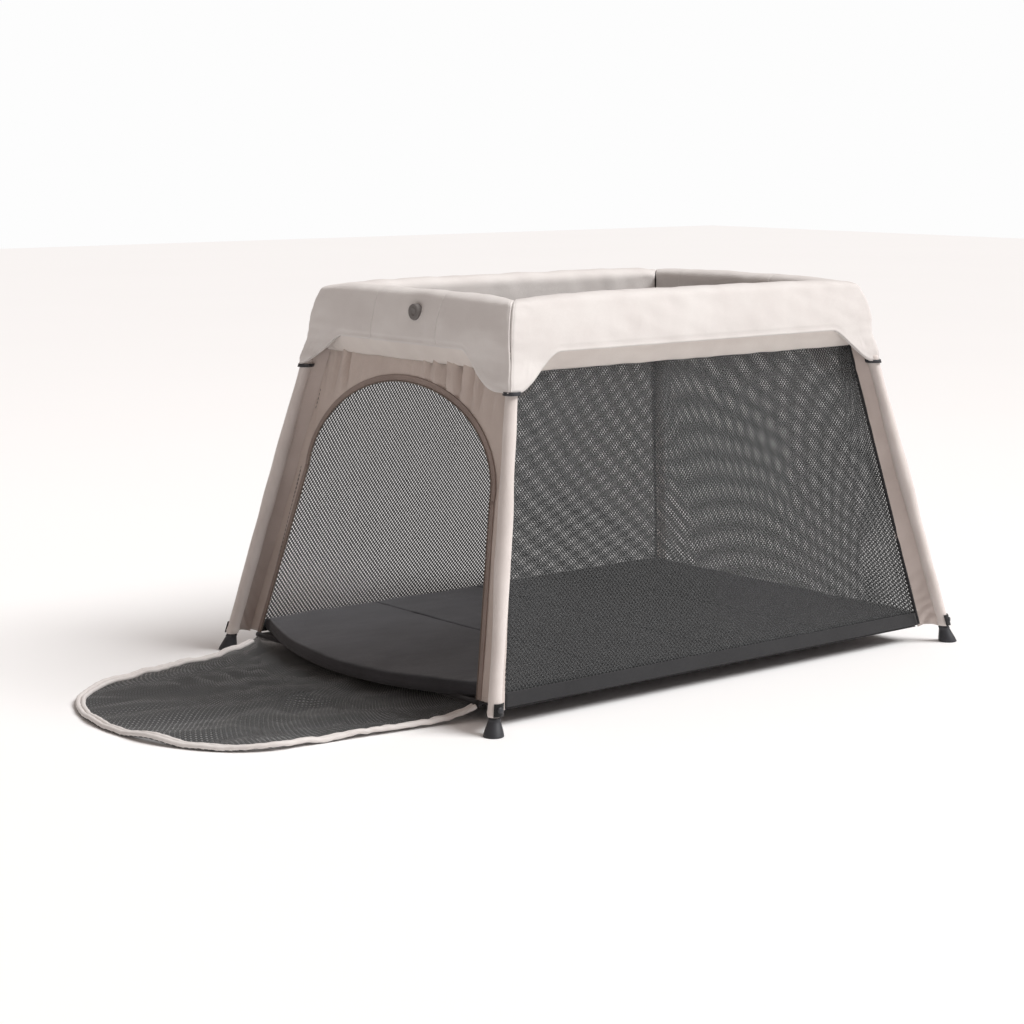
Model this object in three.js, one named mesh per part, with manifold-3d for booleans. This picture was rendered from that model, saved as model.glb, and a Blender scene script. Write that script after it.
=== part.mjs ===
// A folding playpen: splayed legs in fabric sleeves, padded top rails whose short sides break at a
// centre hinge, mesh walls, a folding four-panel mattress and a zip-off door flap lying open.
// Millimetres, +Z up. X runs along the pen's length; the door is at the -X end.
// The origin is on the floor, under the middle of the whole object with its flap laid out.
import * as THREE from "three";
import { mergeVertices } from "three/addons/utils/BufferGeometryUtils.js";
import Module from "manifold-3d";

const wasm = await Module();
wasm.setup();

// ---- driving dimensions -------------------------------------------------------------------
const PEN_X = 212.78;            // middle of the pen, from the origin
const GAP = 0.4;              // air between pieces that touch
const THIN = 3;               // every fabric or mesh skin

const RAIL = { x: 366, y: 237, z: 612, outer: 10, bore: 8.5 };   // half spans and tube radii
const COVER = { half: 27, top: 650, hem: 562, inner: 574, under: 592, bore: 11 };
const COVER_LEAN = { x: 0.19, y: 0.2 };    // how far a cover's outer face leans out per mm of drop
const EAR = { low: 504, alongX: 84, alongY: 66, skin: 2 };       // the cover's corner flap
const LEAN = { x: 0.195, y: 0.188 };        // the same for the walls

const LEG = { topX: 406, topY: 281, topZ: 504, footX: 518, footY: 376, head: 530 };
const NECK = { x: 379, y: 249, radius: 7.5 };                    // where a leg meets its bracket
const LEG_TUBE = { outer: 7.5, bore: 6.7 };
const SLEEVE = { bore: 8.3, outer: 9.8, low: 30, high: 502 };
const FOOT = { base: 17, neck: 9.4, high: 27 };
const WEB = { low: 31, hollow: 10, high: 430 };                   // the web's foot, hollow hem and head
const STRAP = { bore: 10.6, outer: 12.6, low: 32, high: 50 };

const FOLD = { end: 60, rise: 20 };         // corner pivots from the corners; centre pins over the tube
const PIN = { radius: 3.5, hole: 4 };
const BUTTON = { y: -24, z: 610, radius: 14.5, thick: 6, stem: 5 };

const WALL = { low: 31, high: 556, baseX: 472, baseY: 344, end: 5 };
const FIN = 28;           // how far the door wall's foot runs on past its rear corner, towards the leg
const FLOOR = { low: 26.5, high: 29.5 };
const MATTRESS = { low: 31, high: 56, halfX: 464, halfY: 336, panels: 4, bow: 43 };

// the door opening, measured in the wall's own plane from the sill upwards
const DOOR = { rear: 342, front: 286, rearTop: 270, frontTop: 246, spring: 300, high: 468, crown: 25 };
const TAPE = 11;                            // width of the zip tape and of the flap's binding
const FLAP_Z = { sill: 22, tip: 3.2 };      // the laid flap's underside at the sill and at its tip

const ROUND = 16;

// ---- finishes -----------------------------------------------------------------------------
const finish = (color, roughness, metalness = 0) =>
  new THREE.MeshStandardMaterial({ color, roughness, metalness });
const PALE_FABRIC = finish("#d9d3cf", 0.9);
const SLEEVE_FABRIC = finish("#c4bcb8", 0.9);
const WEB_FABRIC = finish("#8a817b", 0.9);
const NETTING = finish("#4a4b50", 0.85);
const CHARCOAL = finish("#4b4b50", 0.95);
const DARK_PLASTIC = finish("#333438", 0.6);
const BLACK_WEBBING = finish("#1c1c1e", 0.8);
const STEEL = finish("#8d9096", 0.4, 0.9);
const ALUMINIUM = finish("#a8abb0", 0.4, 0.9);

const pen = new THREE.Group();
pen.position.x = PEN_X;

// ---- geometry helpers ---------------------------------------------------------------------
function weld(geometry) {
  const bare = geometry.index ? geometry.toNonIndexed() : geometry.clone();
  for (const name of Object.keys(bare.attributes)) {
    if (name !== "position") bare.deleteAttribute(name);
  }
  return mergeVertices(bare, 1e-4);
}

function solid(geometry) {
  const { index, attributes } = weld(geometry);
  return new wasm.Manifold(new wasm.Mesh({
    numProp: 3,
    vertProperties: new Float32Array(attributes.position.array),
    triVerts: new Uint32Array(index.array),
  }));
}

function geometryOf(manifold) {
  const mesh = manifold.getMesh();
  const geometry = new THREE.BufferGeometry();
  geometry.setAttribute("position", new THREE.BufferAttribute(mesh.vertProperties, 3));
  geometry.setIndex(new THREE.BufferAttribute(mesh.triVerts, 1));
  return geometry;
}

function add(name, geometry, material) {
  const made = geometry.isBufferGeometry ? weld(geometry) : geometryOf(geometry);
  made.computeVertexNormals();
  const mesh = new THREE.Mesh(made, material);
  mesh.name = name;
  pen.add(mesh);
}

// A body made for the corner at +X +Y, mirrored to the corner with signs sx and sy.
function mirrored(manifold, sx, sy) {
  const across = sx < 0 ? manifold.mirror([1, 0, 0]) : manifold;
  return sy < 0 ? across.mirror([0, 1, 0]) : across;
}

const v2 = (x, y) => new THREE.Vector2(x, y);

function signedArea(outline) {
  return THREE.ShapeUtils.area(outline.map(([x, y]) => v2(x, y)));
}

// A closed body between a low and a high outline that match point for point: lists of [x, y, z].
function loft(low, high) {
  const flip = signedArea(low) < 0;
  const [bottom, top] = flip ? [[...low].reverse(), [...high].reverse()] : [low, high];
  const count = bottom.length;
  const cap = THREE.ShapeUtils.triangulateShape(bottom.map(([x, y]) => v2(x, y)), []);
  const index = [];
  for (const [a, b, c] of cap) index.push(a, c, b, count + a, count + b, count + c);
  for (let i = 0; i < count; i += 1) {
    const j = (i + 1) % count;
    index.push(i, j, count + j, i, count + j, count + i);
  }
  const geometry = new THREE.BufferGeometry();
  geometry.setAttribute("position", new THREE.Float32BufferAttribute([...bottom, ...top].flat(), 3));
  geometry.setIndex(index);
  return geometry.toNonIndexed();
}

const lift = (outline, z) => outline.map(([x, y]) => [x, y, z]);

function circle(x, y, radius, z, sides = ROUND) {
  return Array.from({ length: sides }, (_, i) => {
    const turn = (2 * Math.PI * i) / sides;
    return [x + radius * Math.cos(turn), y + radius * Math.sin(turn), z];
  });
}

// A body between two lofts: the outer one less a slightly longer inner one.
const hollow = (outer, inner) => solid(outer).subtract(solid(inner));

function box(x0, x1, y0, y1, z0, z1) {
  const geometry = new THREE.BoxGeometry(x1 - x0, y1 - y0, z1 - z0);
  return geometry.translate((x0 + x1) / 2, (y0 + y1) / 2, (z0 + z1) / 2);
}

// A cylinder along "x" or "y", between two places on that axis.
function rod(axis, from, to, radius, centre, sides = ROUND) {
  const geometry = new THREE.CylinderGeometry(radius, radius, to - from, sides);
  if (axis === "x") geometry.rotateZ(-Math.PI / 2);
  const middle = new THREE.Vector3(...centre);
  middle[axis] = (from + to) / 2;
  return geometry.translate(middle.x, middle.y, middle.z);
}

function tube(axis, from, to, centre) {
  const bore = rod(axis, from - 1, to + 1, RAIL.bore, centre);
  return solid(rod(axis, from, to, RAIL.outer, centre)).subtract(solid(bore));
}

// Where a leg's axis is at a height, for the corner with signs sx and sy.
function legAt(z, sx, sy) {
  const share = z / LEG.topZ;
  return [
    sx * (LEG.footX + (LEG.topX - LEG.footX) * share),
    sy * (LEG.footY + (LEG.topY - LEG.footY) * share),
  ];
}

const legRound = (z, radius, sx, sy, sides = ROUND) => circle(...legAt(z, sx, sy), radius, z, sides);
const legPiece = (low, high, radius, sx, sy) =>
  loft(legRound(low, radius, sx, sy), legRound(high, radius, sx, sy));

// ---- corners, legs and feet ----------------------------------------------------------------
const CORNERS = [
  { name: "front_left", sx: -1, sy: -1 },
  { name: "front_right", sx: 1, sy: -1 },
  { name: "rear_left", sx: -1, sy: 1 },
  { name: "rear_right", sx: 1, sy: 1 },
];

const PIVOT_Y = RAIL.y - FOLD.end;

// The arm from a corner's block out to the head of its leg, with some clearance round it.
function neck(clear) {
  const radius = NECK.radius + clear;
  const low = LEG.head + 1.5 - 3 * clear;
  return loft(legRound(low, radius, 1, 1), circle(NECK.x, NECK.y, radius, RAIL.z - 12));
}

function cornerBracket(sx, sy) {
  const inner = { x: RAIL.x - 16, y: RAIL.y - 14 };
  const outer = { x: RAIL.x + 22, y: RAIL.y + 24 };
  const body = box(inner.x, outer.x, inner.y, outer.y, RAIL.z - 15, RAIL.z + 15);
  const stub = rod("x", inner.x - 34, inner.x + 1, RAIL.bore - GAP, [0, RAIL.y, RAIL.z]);
  let made = solid(body).add(solid(stub));
  for (const side of [-1, 1]) {
    const middle = RAIL.x + side * 9.5;
    const cheek = box(middle - 2, middle + 2, PIVOT_Y - 9, inner.y + 1, RAIL.z - 10, RAIL.z + 10);
    made = made.add(solid(cheek));
  }
  const bore = rod("x", RAIL.x - 20, RAIL.x + 20, PIN.hole, [0, PIVOT_Y, RAIL.z]);
  const spigot = legPiece(LEG.head - 44, LEG.head + 4, LEG_TUBE.bore - GAP, 1, 1);
  return mirrored(made.subtract(solid(bore)).add(solid(spigot)).add(solid(neck(0))), sx, sy);
}

function foot(sx, sy) {
  const cone = loft(legRound(0, FOOT.base, sx, sy), legRound(FOOT.high, FOOT.neck, sx, sy));
  const spigot = legPiece(FOOT.high - 4, FOOT.high + 34, LEG_TUBE.bore - GAP, sx, sy);
  return solid(cone).add(solid(spigot));
}

// The web of fabric between a leg's sleeve and the corner of the walls, with its hollow hem.
function web(sx, sy) {
  const wallCorner = (z) => {
    const up = z - WALL.low;
    const fin = sx < 0 && sy > 0 ? (FIN + WALL.end) * (1 - up / (WALL.high - WALL.low)) : 0;
    return [sx * (WALL.baseX + 3 - LEAN.x * up), sy * (WALL.baseY + 3 + fin - LEAN.y * up)];
  };
  const strip = (z, drop) => {
    const [wx, wy] = wallCorner(z);
    const [lx, ly] = legAt(z, sx, sy);
    const long = Math.hypot(lx - wx, ly - wy);
    const [ux, uy] = [(lx - wx) / long, (ly - wy) / long];
    const reach = long - STRAP.outer - 0.8;
    const at = (along, across, down) => [
      wx + ux * along - uy * across, wy + uy * along + ux * across, z - down];
    return [
      at(0, -THIN / 2, drop), at(reach / 2, -THIN / 2, 0), at(reach, -THIN / 2, drop),
      at(reach, THIN / 2, drop), at(reach / 2, THIN / 2, 0), at(0, THIN / 2, drop),
    ];
  };
  return loft(strip(WEB.low + WEB.hollow, WEB.hollow), strip(WEB.high, 0));
}

for (const { name, sx, sy } of CORNERS) {
  add(`${name}_corner_bracket`, cornerBracket(sx, sy), STEEL);
  const legOuter = legPiece(FOOT.high + GAP, LEG.head, LEG_TUBE.outer, sx, sy);
  const legBore = legPiece(FOOT.high - 1, LEG.head + 2, LEG_TUBE.bore, sx, sy);
  add(`${name}_leg_tube`, hollow(legOuter, legBore), STEEL);
  add(`${name}_foot`, foot(sx, sy), DARK_PLASTIC);
  const sleeveOuter = legPiece(SLEEVE.low, SLEEVE.high, SLEEVE.outer, sx, sy);
  const sleeveBore = legPiece(SLEEVE.low - 1, SLEEVE.high + 1, SLEEVE.bore, sx, sy);
  add(`${name}_leg_sleeve`, hollow(sleeveOuter, sleeveBore), SLEEVE_FABRIC);
  const strapOuter = legPiece(STRAP.low, STRAP.high, STRAP.outer, sx, sy);
  const strapBore = legPiece(STRAP.low - 1, STRAP.high + 1, STRAP.bore, sx, sy);
  add(`${name}_leg_strap`, hollow(strapOuter, strapBore), BLACK_WEBBING);
  add(`${name}_web`, web(sx, sy), WEB_FABRIC);
}

// ---- long rails ----------------------------------------------------------------------------
// A rail cover's section: o is outwards from the rail's middle, z is height.
function coverSection(lean) {
  const drop = COVER.top - 12 - COVER.hem;
  const { half } = COVER;
  return [
    [-half, COVER.inner], [-half + 5, COVER.inner], [-half + 5, COVER.under], [half - 1, COVER.under],
    [half + lean * drop - 5, COVER.hem], [half + lean * drop, COVER.hem], [half, COVER.top - 12],
    [half - 4, COVER.top - 4], [half - 14, COVER.top], [-half + 14, COVER.top],
    [-half + 4, COVER.top - 4], [-half, COVER.top - 12],
  ];
}

function coverAlong(axis, side, from, to, corner) {
  const lean = axis === "x" ? COVER_LEAN.y : COVER_LEAN.x;
  const middle = axis === "x" ? RAIL.y : RAIL.x;
  const place = (along, o, z) => (axis === "x" ? [along, side * (middle + o), z]
    : [side * (middle + o), along, z]);
  const shape = new THREE.Shape(coverSection(lean).map(([o, z]) => v2(o, z)));
  const geometry = new THREE.ExtrudeGeometry(shape, { depth: 1, bevelEnabled: false });
  const points = geometry.attributes.position;
  for (let i = 0; i < points.count; i += 1) {
    const [o, z, t] = [points.getX(i), points.getY(i), points.getZ(i)];
    const reach = corner * Math.max(o + COVER.half, 0);
    points.setXYZ(i, ...place(t < 0.5 ? from - reach : to + reach, o, z));
  }
  const flip = (axis === "x") !== (side > 0);
  const made = flip ? flipped(geometry) : geometry;
  const ends = [from - 60, to + 60];
  const centre = place(0, 0, RAIL.z);
  return solid(made).subtract(solid(rod(axis, ...ends, COVER.bore, centre)));
}

function flipped(geometry) {
  const bare = geometry.index ? geometry.toNonIndexed() : geometry;
  const points = bare.attributes.position.array;
  for (let i = 0; i < points.length; i += 9) {
    for (let k = 0; k < 3; k += 1) {
      [points[i + 3 + k], points[i + 6 + k]] = [points[i + 6 + k], points[i + 3 + k]];
    }
  }
  return bare;
}

// The flap that hangs from a cover's corner and wraps the head of the leg.
function ear() {
  const outline = (z) => {
    const drop = COVER.top - 12 - z;
    const x = RAIL.x + COVER.half + COVER_LEAN.x * drop;
    const y = RAIL.y + COVER.half + COVER_LEAN.y * drop;
    const taper = (COVER.hem - z) * 0.6;
    const [ax, ay] = [x - EAR.alongX + taper, y - EAR.alongY + taper];
    return [[ax, y, z], [ax, y - EAR.skin, z], [x - EAR.skin, y - EAR.skin, z],
      [x - EAR.skin, ay, z], [x, ay, z], [x, y, z]];
  };
  return loft(outline(EAR.low), outline(COVER.hem + 1));
}

const bracketRoom = box(RAIL.x - 20, RAIL.x + 25.5, PIVOT_Y - 14, RAIL.y + 26.5, 560, RAIL.z + 17);
for (const [name, side] of [["front", -1], ["rear", 1]]) {
  const end = RAIL.x - 16 - GAP;
  add(`${name}_rail_tube`, tube("x", -end, end, [0, side * RAIL.y, RAIL.z]), ALUMINIUM);
  let cover = coverAlong("x", side, -(RAIL.x - COVER.half), RAIL.x - COVER.half, 1);
  for (const sx of [-1, 1]) {
    cover = cover.subtract(mirrored(solid(bracketRoom).add(solid(neck(1))), sx, side))
      .add(mirrored(solid(ear()), sx, side));
  }
  add(`${name}_rail_cover`, cover, PALE_FABRIC);
}

// ---- short rails, each in two halves on a centre hinge ---------------------------------------
const HINGE_Z = RAIL.z + FOLD.rise;
const CENTRE = 26;                       // half the length of the centre hinge's housing

function railPlug(sx, sy) {
  const block = box(RAIL.x - 6.6, RAIL.x + 6.6, PIVOT_Y - 26, PIVOT_Y, RAIL.z - 9, RAIL.z + 9);
  const nose = rod("x", RAIL.x - 6.6, RAIL.x + 6.6, 9, [0, PIVOT_Y, RAIL.z]);
  const stub = rod("y", PIVOT_Y - 56, PIVOT_Y - 25, RAIL.bore - GAP, [RAIL.x, 0, RAIL.z]);
  const pin = rod("x", RAIL.x - 15, RAIL.x + 15, PIN.radius, [0, PIVOT_Y, RAIL.z]);
  return mirrored(solid(block).add(solid(nose)).add(solid(stub)).add(solid(pin)), sx, sy);
}

// Half of the centre hinge: the front half is the fork, the rear half the tongue with its pin.
function centreHalf(sx, sy) {
  const fork = sy < 0;
  const nearY = 1;
  const body = box(RAIL.x - 16, RAIL.x + 20, nearY, CENTRE, RAIL.z - 14, RAIL.z + 11);
  const stub = rod("y", CENTRE - 1, CENTRE + 32, RAIL.bore - GAP, [RAIL.x, 0, RAIL.z]);
  let made = solid(body).add(solid(stub));
  const knuckle = (x0, x1) => solid(rod("x", x0, x1, 7, [0, 0, HINGE_Z]))
    .add(solid(box(x0, x1, 0, CENTRE, RAIL.z + 4, HINGE_Z + 5)));
  const clear = (x0, x1) => solid(rod("x", x0, x1, 8, [0, 0, HINGE_Z]));
  if (fork) {
    made = made.subtract(clear(RAIL.x - 40, RAIL.x + 40));
    for (const middle of [RAIL.x - 11, RAIL.x + 11]) made = made.add(knuckle(middle - 4, middle + 4));
    made = made.subtract(solid(rod("x", RAIL.x - 40, RAIL.x + 40, PIN.hole, [0, 0, HINGE_Z])));
  } else {
    made = made.subtract(clear(RAIL.x - 40, RAIL.x + 40)).add(knuckle(RAIL.x - 6, RAIL.x + 6))
      .add(solid(rod("x", RAIL.x - 17, RAIL.x + 17, PIN.radius, [0, 0, HINGE_Z])));
  }
  const turned = mirrored(made, sx, sy);
  if (!fork) return turned;
  const room = rod("x", RAIL.x + 4, RAIL.x + 60, BUTTON.stem + GAP, [0, BUTTON.y + 9, BUTTON.z - 4]);
  return turned.subtract(mirrored(solid(room), sx, 1));
}

function button(sx) {
  const face = RAIL.x + COVER.half + 5;
  const cap = rod("x", face, face + BUTTON.thick, BUTTON.radius, [0, BUTTON.y, BUTTON.z], 24);
  const stem = rod("x", RAIL.x + 12, face + 1, BUTTON.stem, [0, BUTTON.y + 9, BUTTON.z - 4]);
  return mirrored(solid(cap).add(solid(stem)), sx, 1);
}

for (const [end, sx] of [["left", -1], ["right", 1]]) {
  for (const [half, sy] of [["front", -1], ["rear", 1]]) {
    const [from, to] = [CENTRE + GAP, PIVOT_Y - 26 - GAP];
    const span = sy < 0 ? [-to, -from] : [from, to];
    add(`${end}_rail_${half}_tube`, tube("y", ...span, [sx * RAIL.x, 0, RAIL.z]), ALUMINIUM);
    add(`${end}_rail_${half}_plug`, railPlug(sx, sy), DARK_PLASTIC);
    add(`${end}_hinge_${half}_half`, centreHalf(sx, sy), DARK_PLASTIC);
    const reach = [54.5, RAIL.y - COVER.half - 1];
    const spread = sy < 0 ? [-reach[1], -reach[0]] : reach;
    let cover = coverAlong("y", sx, ...spread, 0);
    const room = solid(box(RAIL.x - 20, RAIL.x + 25, PIVOT_Y - 32, 240, 560, RAIL.z + 17));
    cover = cover.subtract(mirrored(room, sx, sy));
    add(`${end}_rail_${half}_cover`, cover, PALE_FABRIC);
  }
  add(`${end}_release_button`, button(sx), DARK_PLASTIC);
}

// ---- walls ---------------------------------------------------------------------------------
function longWall(side) {
  const row = (z) => {
    const up = z - WALL.low;
    const x = WALL.baseX - WALL.end - LEAN.x * up;
    const y = side * (WALL.baseY - LEAN.y * up);
    return [[-x, y - THIN / 2, z], [x, y - THIN / 2, z], [x, y + THIN / 2, z], [-x, y + THIN / 2, z]];
  };
  return loft(row(WALL.low), row(WALL.high));
}

// A flat shape given as [across, up] becomes a leaning skin at the pen's end.
function onEndWall(shape, sx, thick, out = 0) {
  const geometry = new THREE.ExtrudeGeometry(shape, { depth: thick, bevelEnabled: false });
  const points = geometry.attributes.position;
  for (let i = 0; i < points.count; i += 1) {
    const [y, up, t] = [points.getX(i), points.getY(i), points.getZ(i)];
    const x = WALL.baseX - LEAN.x * up + t - thick / 2 + out;
    points.setXYZ(i, sx * x, y, WALL.low + up);
  }
  return sx < 0 ? flipped(geometry) : geometry;
}

const endOutline = (fin = 0) => {          // fin: how much wider the rear of the foot is
  const high = WALL.high - WALL.low;
  const low = WALL.baseY - WALL.end;
  const top = low - LEAN.y * high;
  return [v2(-low, 0), v2(low + fin, 0), v2(top, high), v2(-top, high)];
};

// The door's edge from the front of the sill, over the crown, to the rear: two leaning sides that
// run into quarter ellipses. inset moves it inwards.
function doorEdge(inset, steps = 8) {
  const quarter = (reach, turn) => v2(
    DOOR.crown + (reach - Math.sign(reach) * inset) * Math.cos(turn),
    DOOR.spring + (DOOR.high - DOOR.spring - inset) * Math.sin(turn));
  const edge = [v2(-DOOR.front + inset, 0)];
  for (let i = 0; i <= steps; i += 1) {
    edge.push(quarter(-DOOR.frontTop - DOOR.crown, (Math.PI / 2) * (i / steps)));
  }
  for (let i = steps - 1; i >= 0; i -= 1) {
    edge.push(quarter(DOOR.rearTop - DOOR.crown, (Math.PI / 2) * (i / steps)));
  }
  edge.push(v2(DOOR.rear - inset, 0));
  return edge;
}

// A band between two door edges, from sill to sill.
function doorBand(outer, inner) {
  return new THREE.Shape([...doorEdge(outer), ...doorEdge(inner).reverse()]);
}

const doorFrame = [
  ...endOutline(FIN + WALL.end).slice(1), v2(-WALL.baseY + WALL.end, 0), ...doorEdge(-GAP),
];
add("front_mesh_wall", longWall(-1), NETTING);
add("rear_mesh_wall", longWall(1), NETTING);
add("right_mesh_wall", onEndWall(new THREE.Shape(endOutline()), 1, THIN), NETTING);
add("door_wall", onEndWall(new THREE.Shape(doorFrame), -1, THIN), PALE_FABRIC);
add("door_zip_tape", onEndWall(doorBand(0, TAPE), -1, THIN), WEB_FABRIC);

// ---- door flap, laid open on the floor ---------------------------------------------------------
const SILL = { x: -(WALL.baseX + 6), z: FLAP_Z.sill + 3 };
const slant = Math.hypot(1, LEAN.x);        // length along the leaning wall per mm of height
const flapSlope = Math.atan2(FLAP_Z.sill - FLAP_Z.tip, DOOR.high * slant);

function laid(shape, thick) {
  const geometry = new THREE.ExtrudeGeometry(shape, { depth: thick, bevelEnabled: false });
  const points = geometry.attributes.position;
  const [c, s] = [Math.cos(flapSlope), Math.sin(flapSlope)];
  for (let i = 0; i < points.count; i += 1) {
    const [y, away, t] = [points.getX(i), points.getY(i) * slant + 4, points.getZ(i) - 2];
    points.setXYZ(i, SILL.x - away * c + t * s, y, SILL.z - away * s - t * c);
  }
  return flipped(geometry);
}

add("door_flap_netting", laid(new THREE.Shape(doorEdge(TAPE - 1)), 2), NETTING);
add("door_flap_binding", laid(doorBand(-2, TAPE - 1 - GAP), 4), PALE_FABRIC);

// ---- floor and mattress ------------------------------------------------------------------------
const floorHalf = { x: WALL.baseX - 8, y: WALL.baseY - 4 };
add("floor_sheet", box(-floorHalf.x, floorHalf.x, -floorHalf.y, floorHalf.y, FLOOR.low, FLOOR.high),
  WEB_FABRIC);

const panelLong = (2 * MATTRESS.halfX) / MATTRESS.panels;
const bowHalf = (DOOR.front + DOOR.rear) / 2 - TAPE - 8;
const bowMiddle = (DOOR.rear - DOOR.front) / 2;
for (let i = 0; i < MATTRESS.panels; i += 1) {
  const from = -MATTRESS.halfX + i * panelLong + (i ? GAP : 0);
  const to = -MATTRESS.halfX + (i + 1) * panelLong - GAP;
  const edge = [[to, -MATTRESS.halfY], [to, MATTRESS.halfY], [from, MATTRESS.halfY]];
  if (i === 0) {
    for (let k = 0; k <= 12; k += 1) {
      const across = 1 - (2 * k) / 12;
      edge.push([from - MATTRESS.bow * (1 - across * across), bowMiddle + across * bowHalf]);
    }
  }
  edge.push([from, -MATTRESS.halfY]);
  add(`mattress_panel_${i + 1}`, loft(lift(edge, MATTRESS.low), lift(edge, MATTRESS.high)), CHARCOAL);
}

export default pen;
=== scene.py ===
"""Looks of a folding playpen: padded rails, netting walls, sleeved legs, a mattress and an open zip door.

Every length is in metres, in the row frame: X along the pen, the door at -X, Z up. PEN moves the pen's own
middle to where the frame has it. Each new surface is a grid of points worked out from two parameters.
"""

import logging
import math
from dataclasses import dataclass, field
from enum import Enum

import bmesh
import bpy
import numpy as np
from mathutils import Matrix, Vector


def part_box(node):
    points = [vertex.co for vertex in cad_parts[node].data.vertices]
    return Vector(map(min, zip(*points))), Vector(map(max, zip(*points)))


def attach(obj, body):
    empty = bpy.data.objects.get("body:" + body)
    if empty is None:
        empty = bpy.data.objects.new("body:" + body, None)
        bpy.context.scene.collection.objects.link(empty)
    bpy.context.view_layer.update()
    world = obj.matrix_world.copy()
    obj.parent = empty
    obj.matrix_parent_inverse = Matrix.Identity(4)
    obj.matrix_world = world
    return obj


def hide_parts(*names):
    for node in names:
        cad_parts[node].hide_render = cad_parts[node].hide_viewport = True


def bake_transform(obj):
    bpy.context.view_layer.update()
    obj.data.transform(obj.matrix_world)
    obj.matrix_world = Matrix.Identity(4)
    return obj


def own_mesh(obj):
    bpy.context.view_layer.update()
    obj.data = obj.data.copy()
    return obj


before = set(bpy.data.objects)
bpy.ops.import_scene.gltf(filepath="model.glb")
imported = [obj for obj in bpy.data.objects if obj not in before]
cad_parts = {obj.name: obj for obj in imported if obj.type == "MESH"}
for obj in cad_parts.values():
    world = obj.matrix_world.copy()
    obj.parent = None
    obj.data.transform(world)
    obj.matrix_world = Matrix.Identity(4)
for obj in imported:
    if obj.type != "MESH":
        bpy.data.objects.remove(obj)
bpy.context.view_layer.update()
LOG = logging.getLogger("playpen")
MM = 0.001

PEN = sum(v.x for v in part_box("floor_sheet")) / 2


class End(Enum):
    """The two short sides: the door's end and the far end."""

    LEFT = -1
    RIGHT = 1


class Side(Enum):
    """The two long sides."""

    FRONT = -1
    REAR = 1

    @property
    def body(self) -> str:
        """The CAD body that this long side belongs to."""
        return "front_frame" if self is Side.FRONT else "rear_frame"


@dataclass(frozen=True)
class Plan:
    """Places that several pieces share, measured from the pen's middle.

    Lean is how far a skin moves outwards for each metre that it drops.
    """

    rail_x: float = 0.366
    rail_y: float = 0.237
    rail_z: float = 0.612
    cover_half: float = 0.027
    cover_top: float = 0.6455
    shoulder: float = 0.627
    hem: float = 0.559
    inner_hem: float = 0.537
    cover_lean_x: float = 0.19
    cover_lean_y: float = 0.20
    wall_low: float = 0.031
    wall_high: float = 0.548
    wall_x: float = 0.472
    wall_y: float = 0.344
    wall_lean_x: float = 0.195
    wall_lean_y: float = 0.188
    fin: float = 0.028
    leg_top: tuple[float, float, float] = (0.406, 0.281, 0.504)
    leg_foot: tuple[float, float] = (0.518, 0.376)
    pivot_y: float = 0.177
    hinge_rise: float = 0.020
    fold_deg: float = 84.0

    def wall_corner(self, z: np.ndarray) -> tuple[np.ndarray, np.ndarray]:
        """Half length and half width of the walls at a height: the sill's, less lean times the rise."""
        rise = z - self.wall_low
        return self.wall_x - self.wall_lean_x * rise, self.wall_y - self.wall_lean_y * rise

    def fin_at(self, z: np.ndarray) -> np.ndarray:
        """How far the door's wall runs on past its rear corner: its fin at the sill, none at the top."""
        return self.fin * (self.wall_high - z) / (self.wall_high - self.wall_low)

    def leg(self, z: np.ndarray) -> tuple[np.ndarray, np.ndarray]:
        """A leg's axis at a height, on the straight line from its foot to its head."""
        share = z / self.leg_top[2]
        foot_x, foot_y = self.leg_foot
        return foot_x + (self.leg_top[0] - foot_x) * share, foot_y + (self.leg_top[1] - foot_y) * share

    @property
    def fold_shift(self) -> float:
        """How far the rear frame moves towards the front one when the short rails have folded."""
        angle = math.radians(self.fold_deg)
        return 2 * (self.pivot_y * (1 - math.cos(angle)) - self.hinge_rise * math.sin(angle))


PLAN = Plan()


# ---- numbers and grids -----------------------------------------------------------------------
def smooth(t: np.ndarray) -> np.ndarray:
    """Smoothstep: three t squared less two t cubed, with t held between 0 and 1."""
    held = np.clip(t, 0.0, 1.0)
    return held * held * (3 - 2 * held)


def ripple(points: np.ndarray, size: float, seed: int, waves: int = 9) -> np.ndarray:
    """A smooth random field from about -1 to 1: the mean of plane waves in random directions.

    Args:
        points: an array whose last axis is x, y, z.
        size: the length of the field's typical wave.
        seed: which field.
        waves: how many plane waves are added.

    Returns:
        One number for each point.
    """
    random = np.random.default_rng(seed)
    direction = random.normal(size=(waves, 3))
    direction /= np.linalg.norm(direction, axis=1, keepdims=True)
    length = size * random.uniform(0.7, 1.6, waves)
    phase = random.uniform(0, 2 * np.pi, waves)
    angle = points @ (direction.T * 2 * np.pi / length) + phase
    return np.sin(angle).sum(-1) / math.sqrt(waves)


def normals(grid: np.ndarray) -> np.ndarray:
    """Unit normals of a grid: the cross product of its steps along the rows and the columns."""
    cross = np.cross(np.gradient(grid, axis=0), np.gradient(grid, axis=1))
    return cross / np.maximum(np.linalg.norm(cross, axis=-1, keepdims=True), 1e-12)


def run_lengths(grid: np.ndarray) -> np.ndarray:
    """Cloth coordinates in metres: the running length along the rows and along the columns.

    Args:
        grid: rows by columns by 3.

    Returns:
        Rows by columns by 2.
    """
    down = np.linalg.norm(np.diff(grid, axis=0), axis=-1).mean(1)
    across = np.linalg.norm(np.diff(grid, axis=1), axis=-1).mean(0)
    rows = np.concatenate([[0], np.cumsum(down)])
    cols = np.concatenate([[0], np.cumsum(across)])
    return np.stack(np.meshgrid(rows, cols, indexing="ij"), -1)


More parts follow.
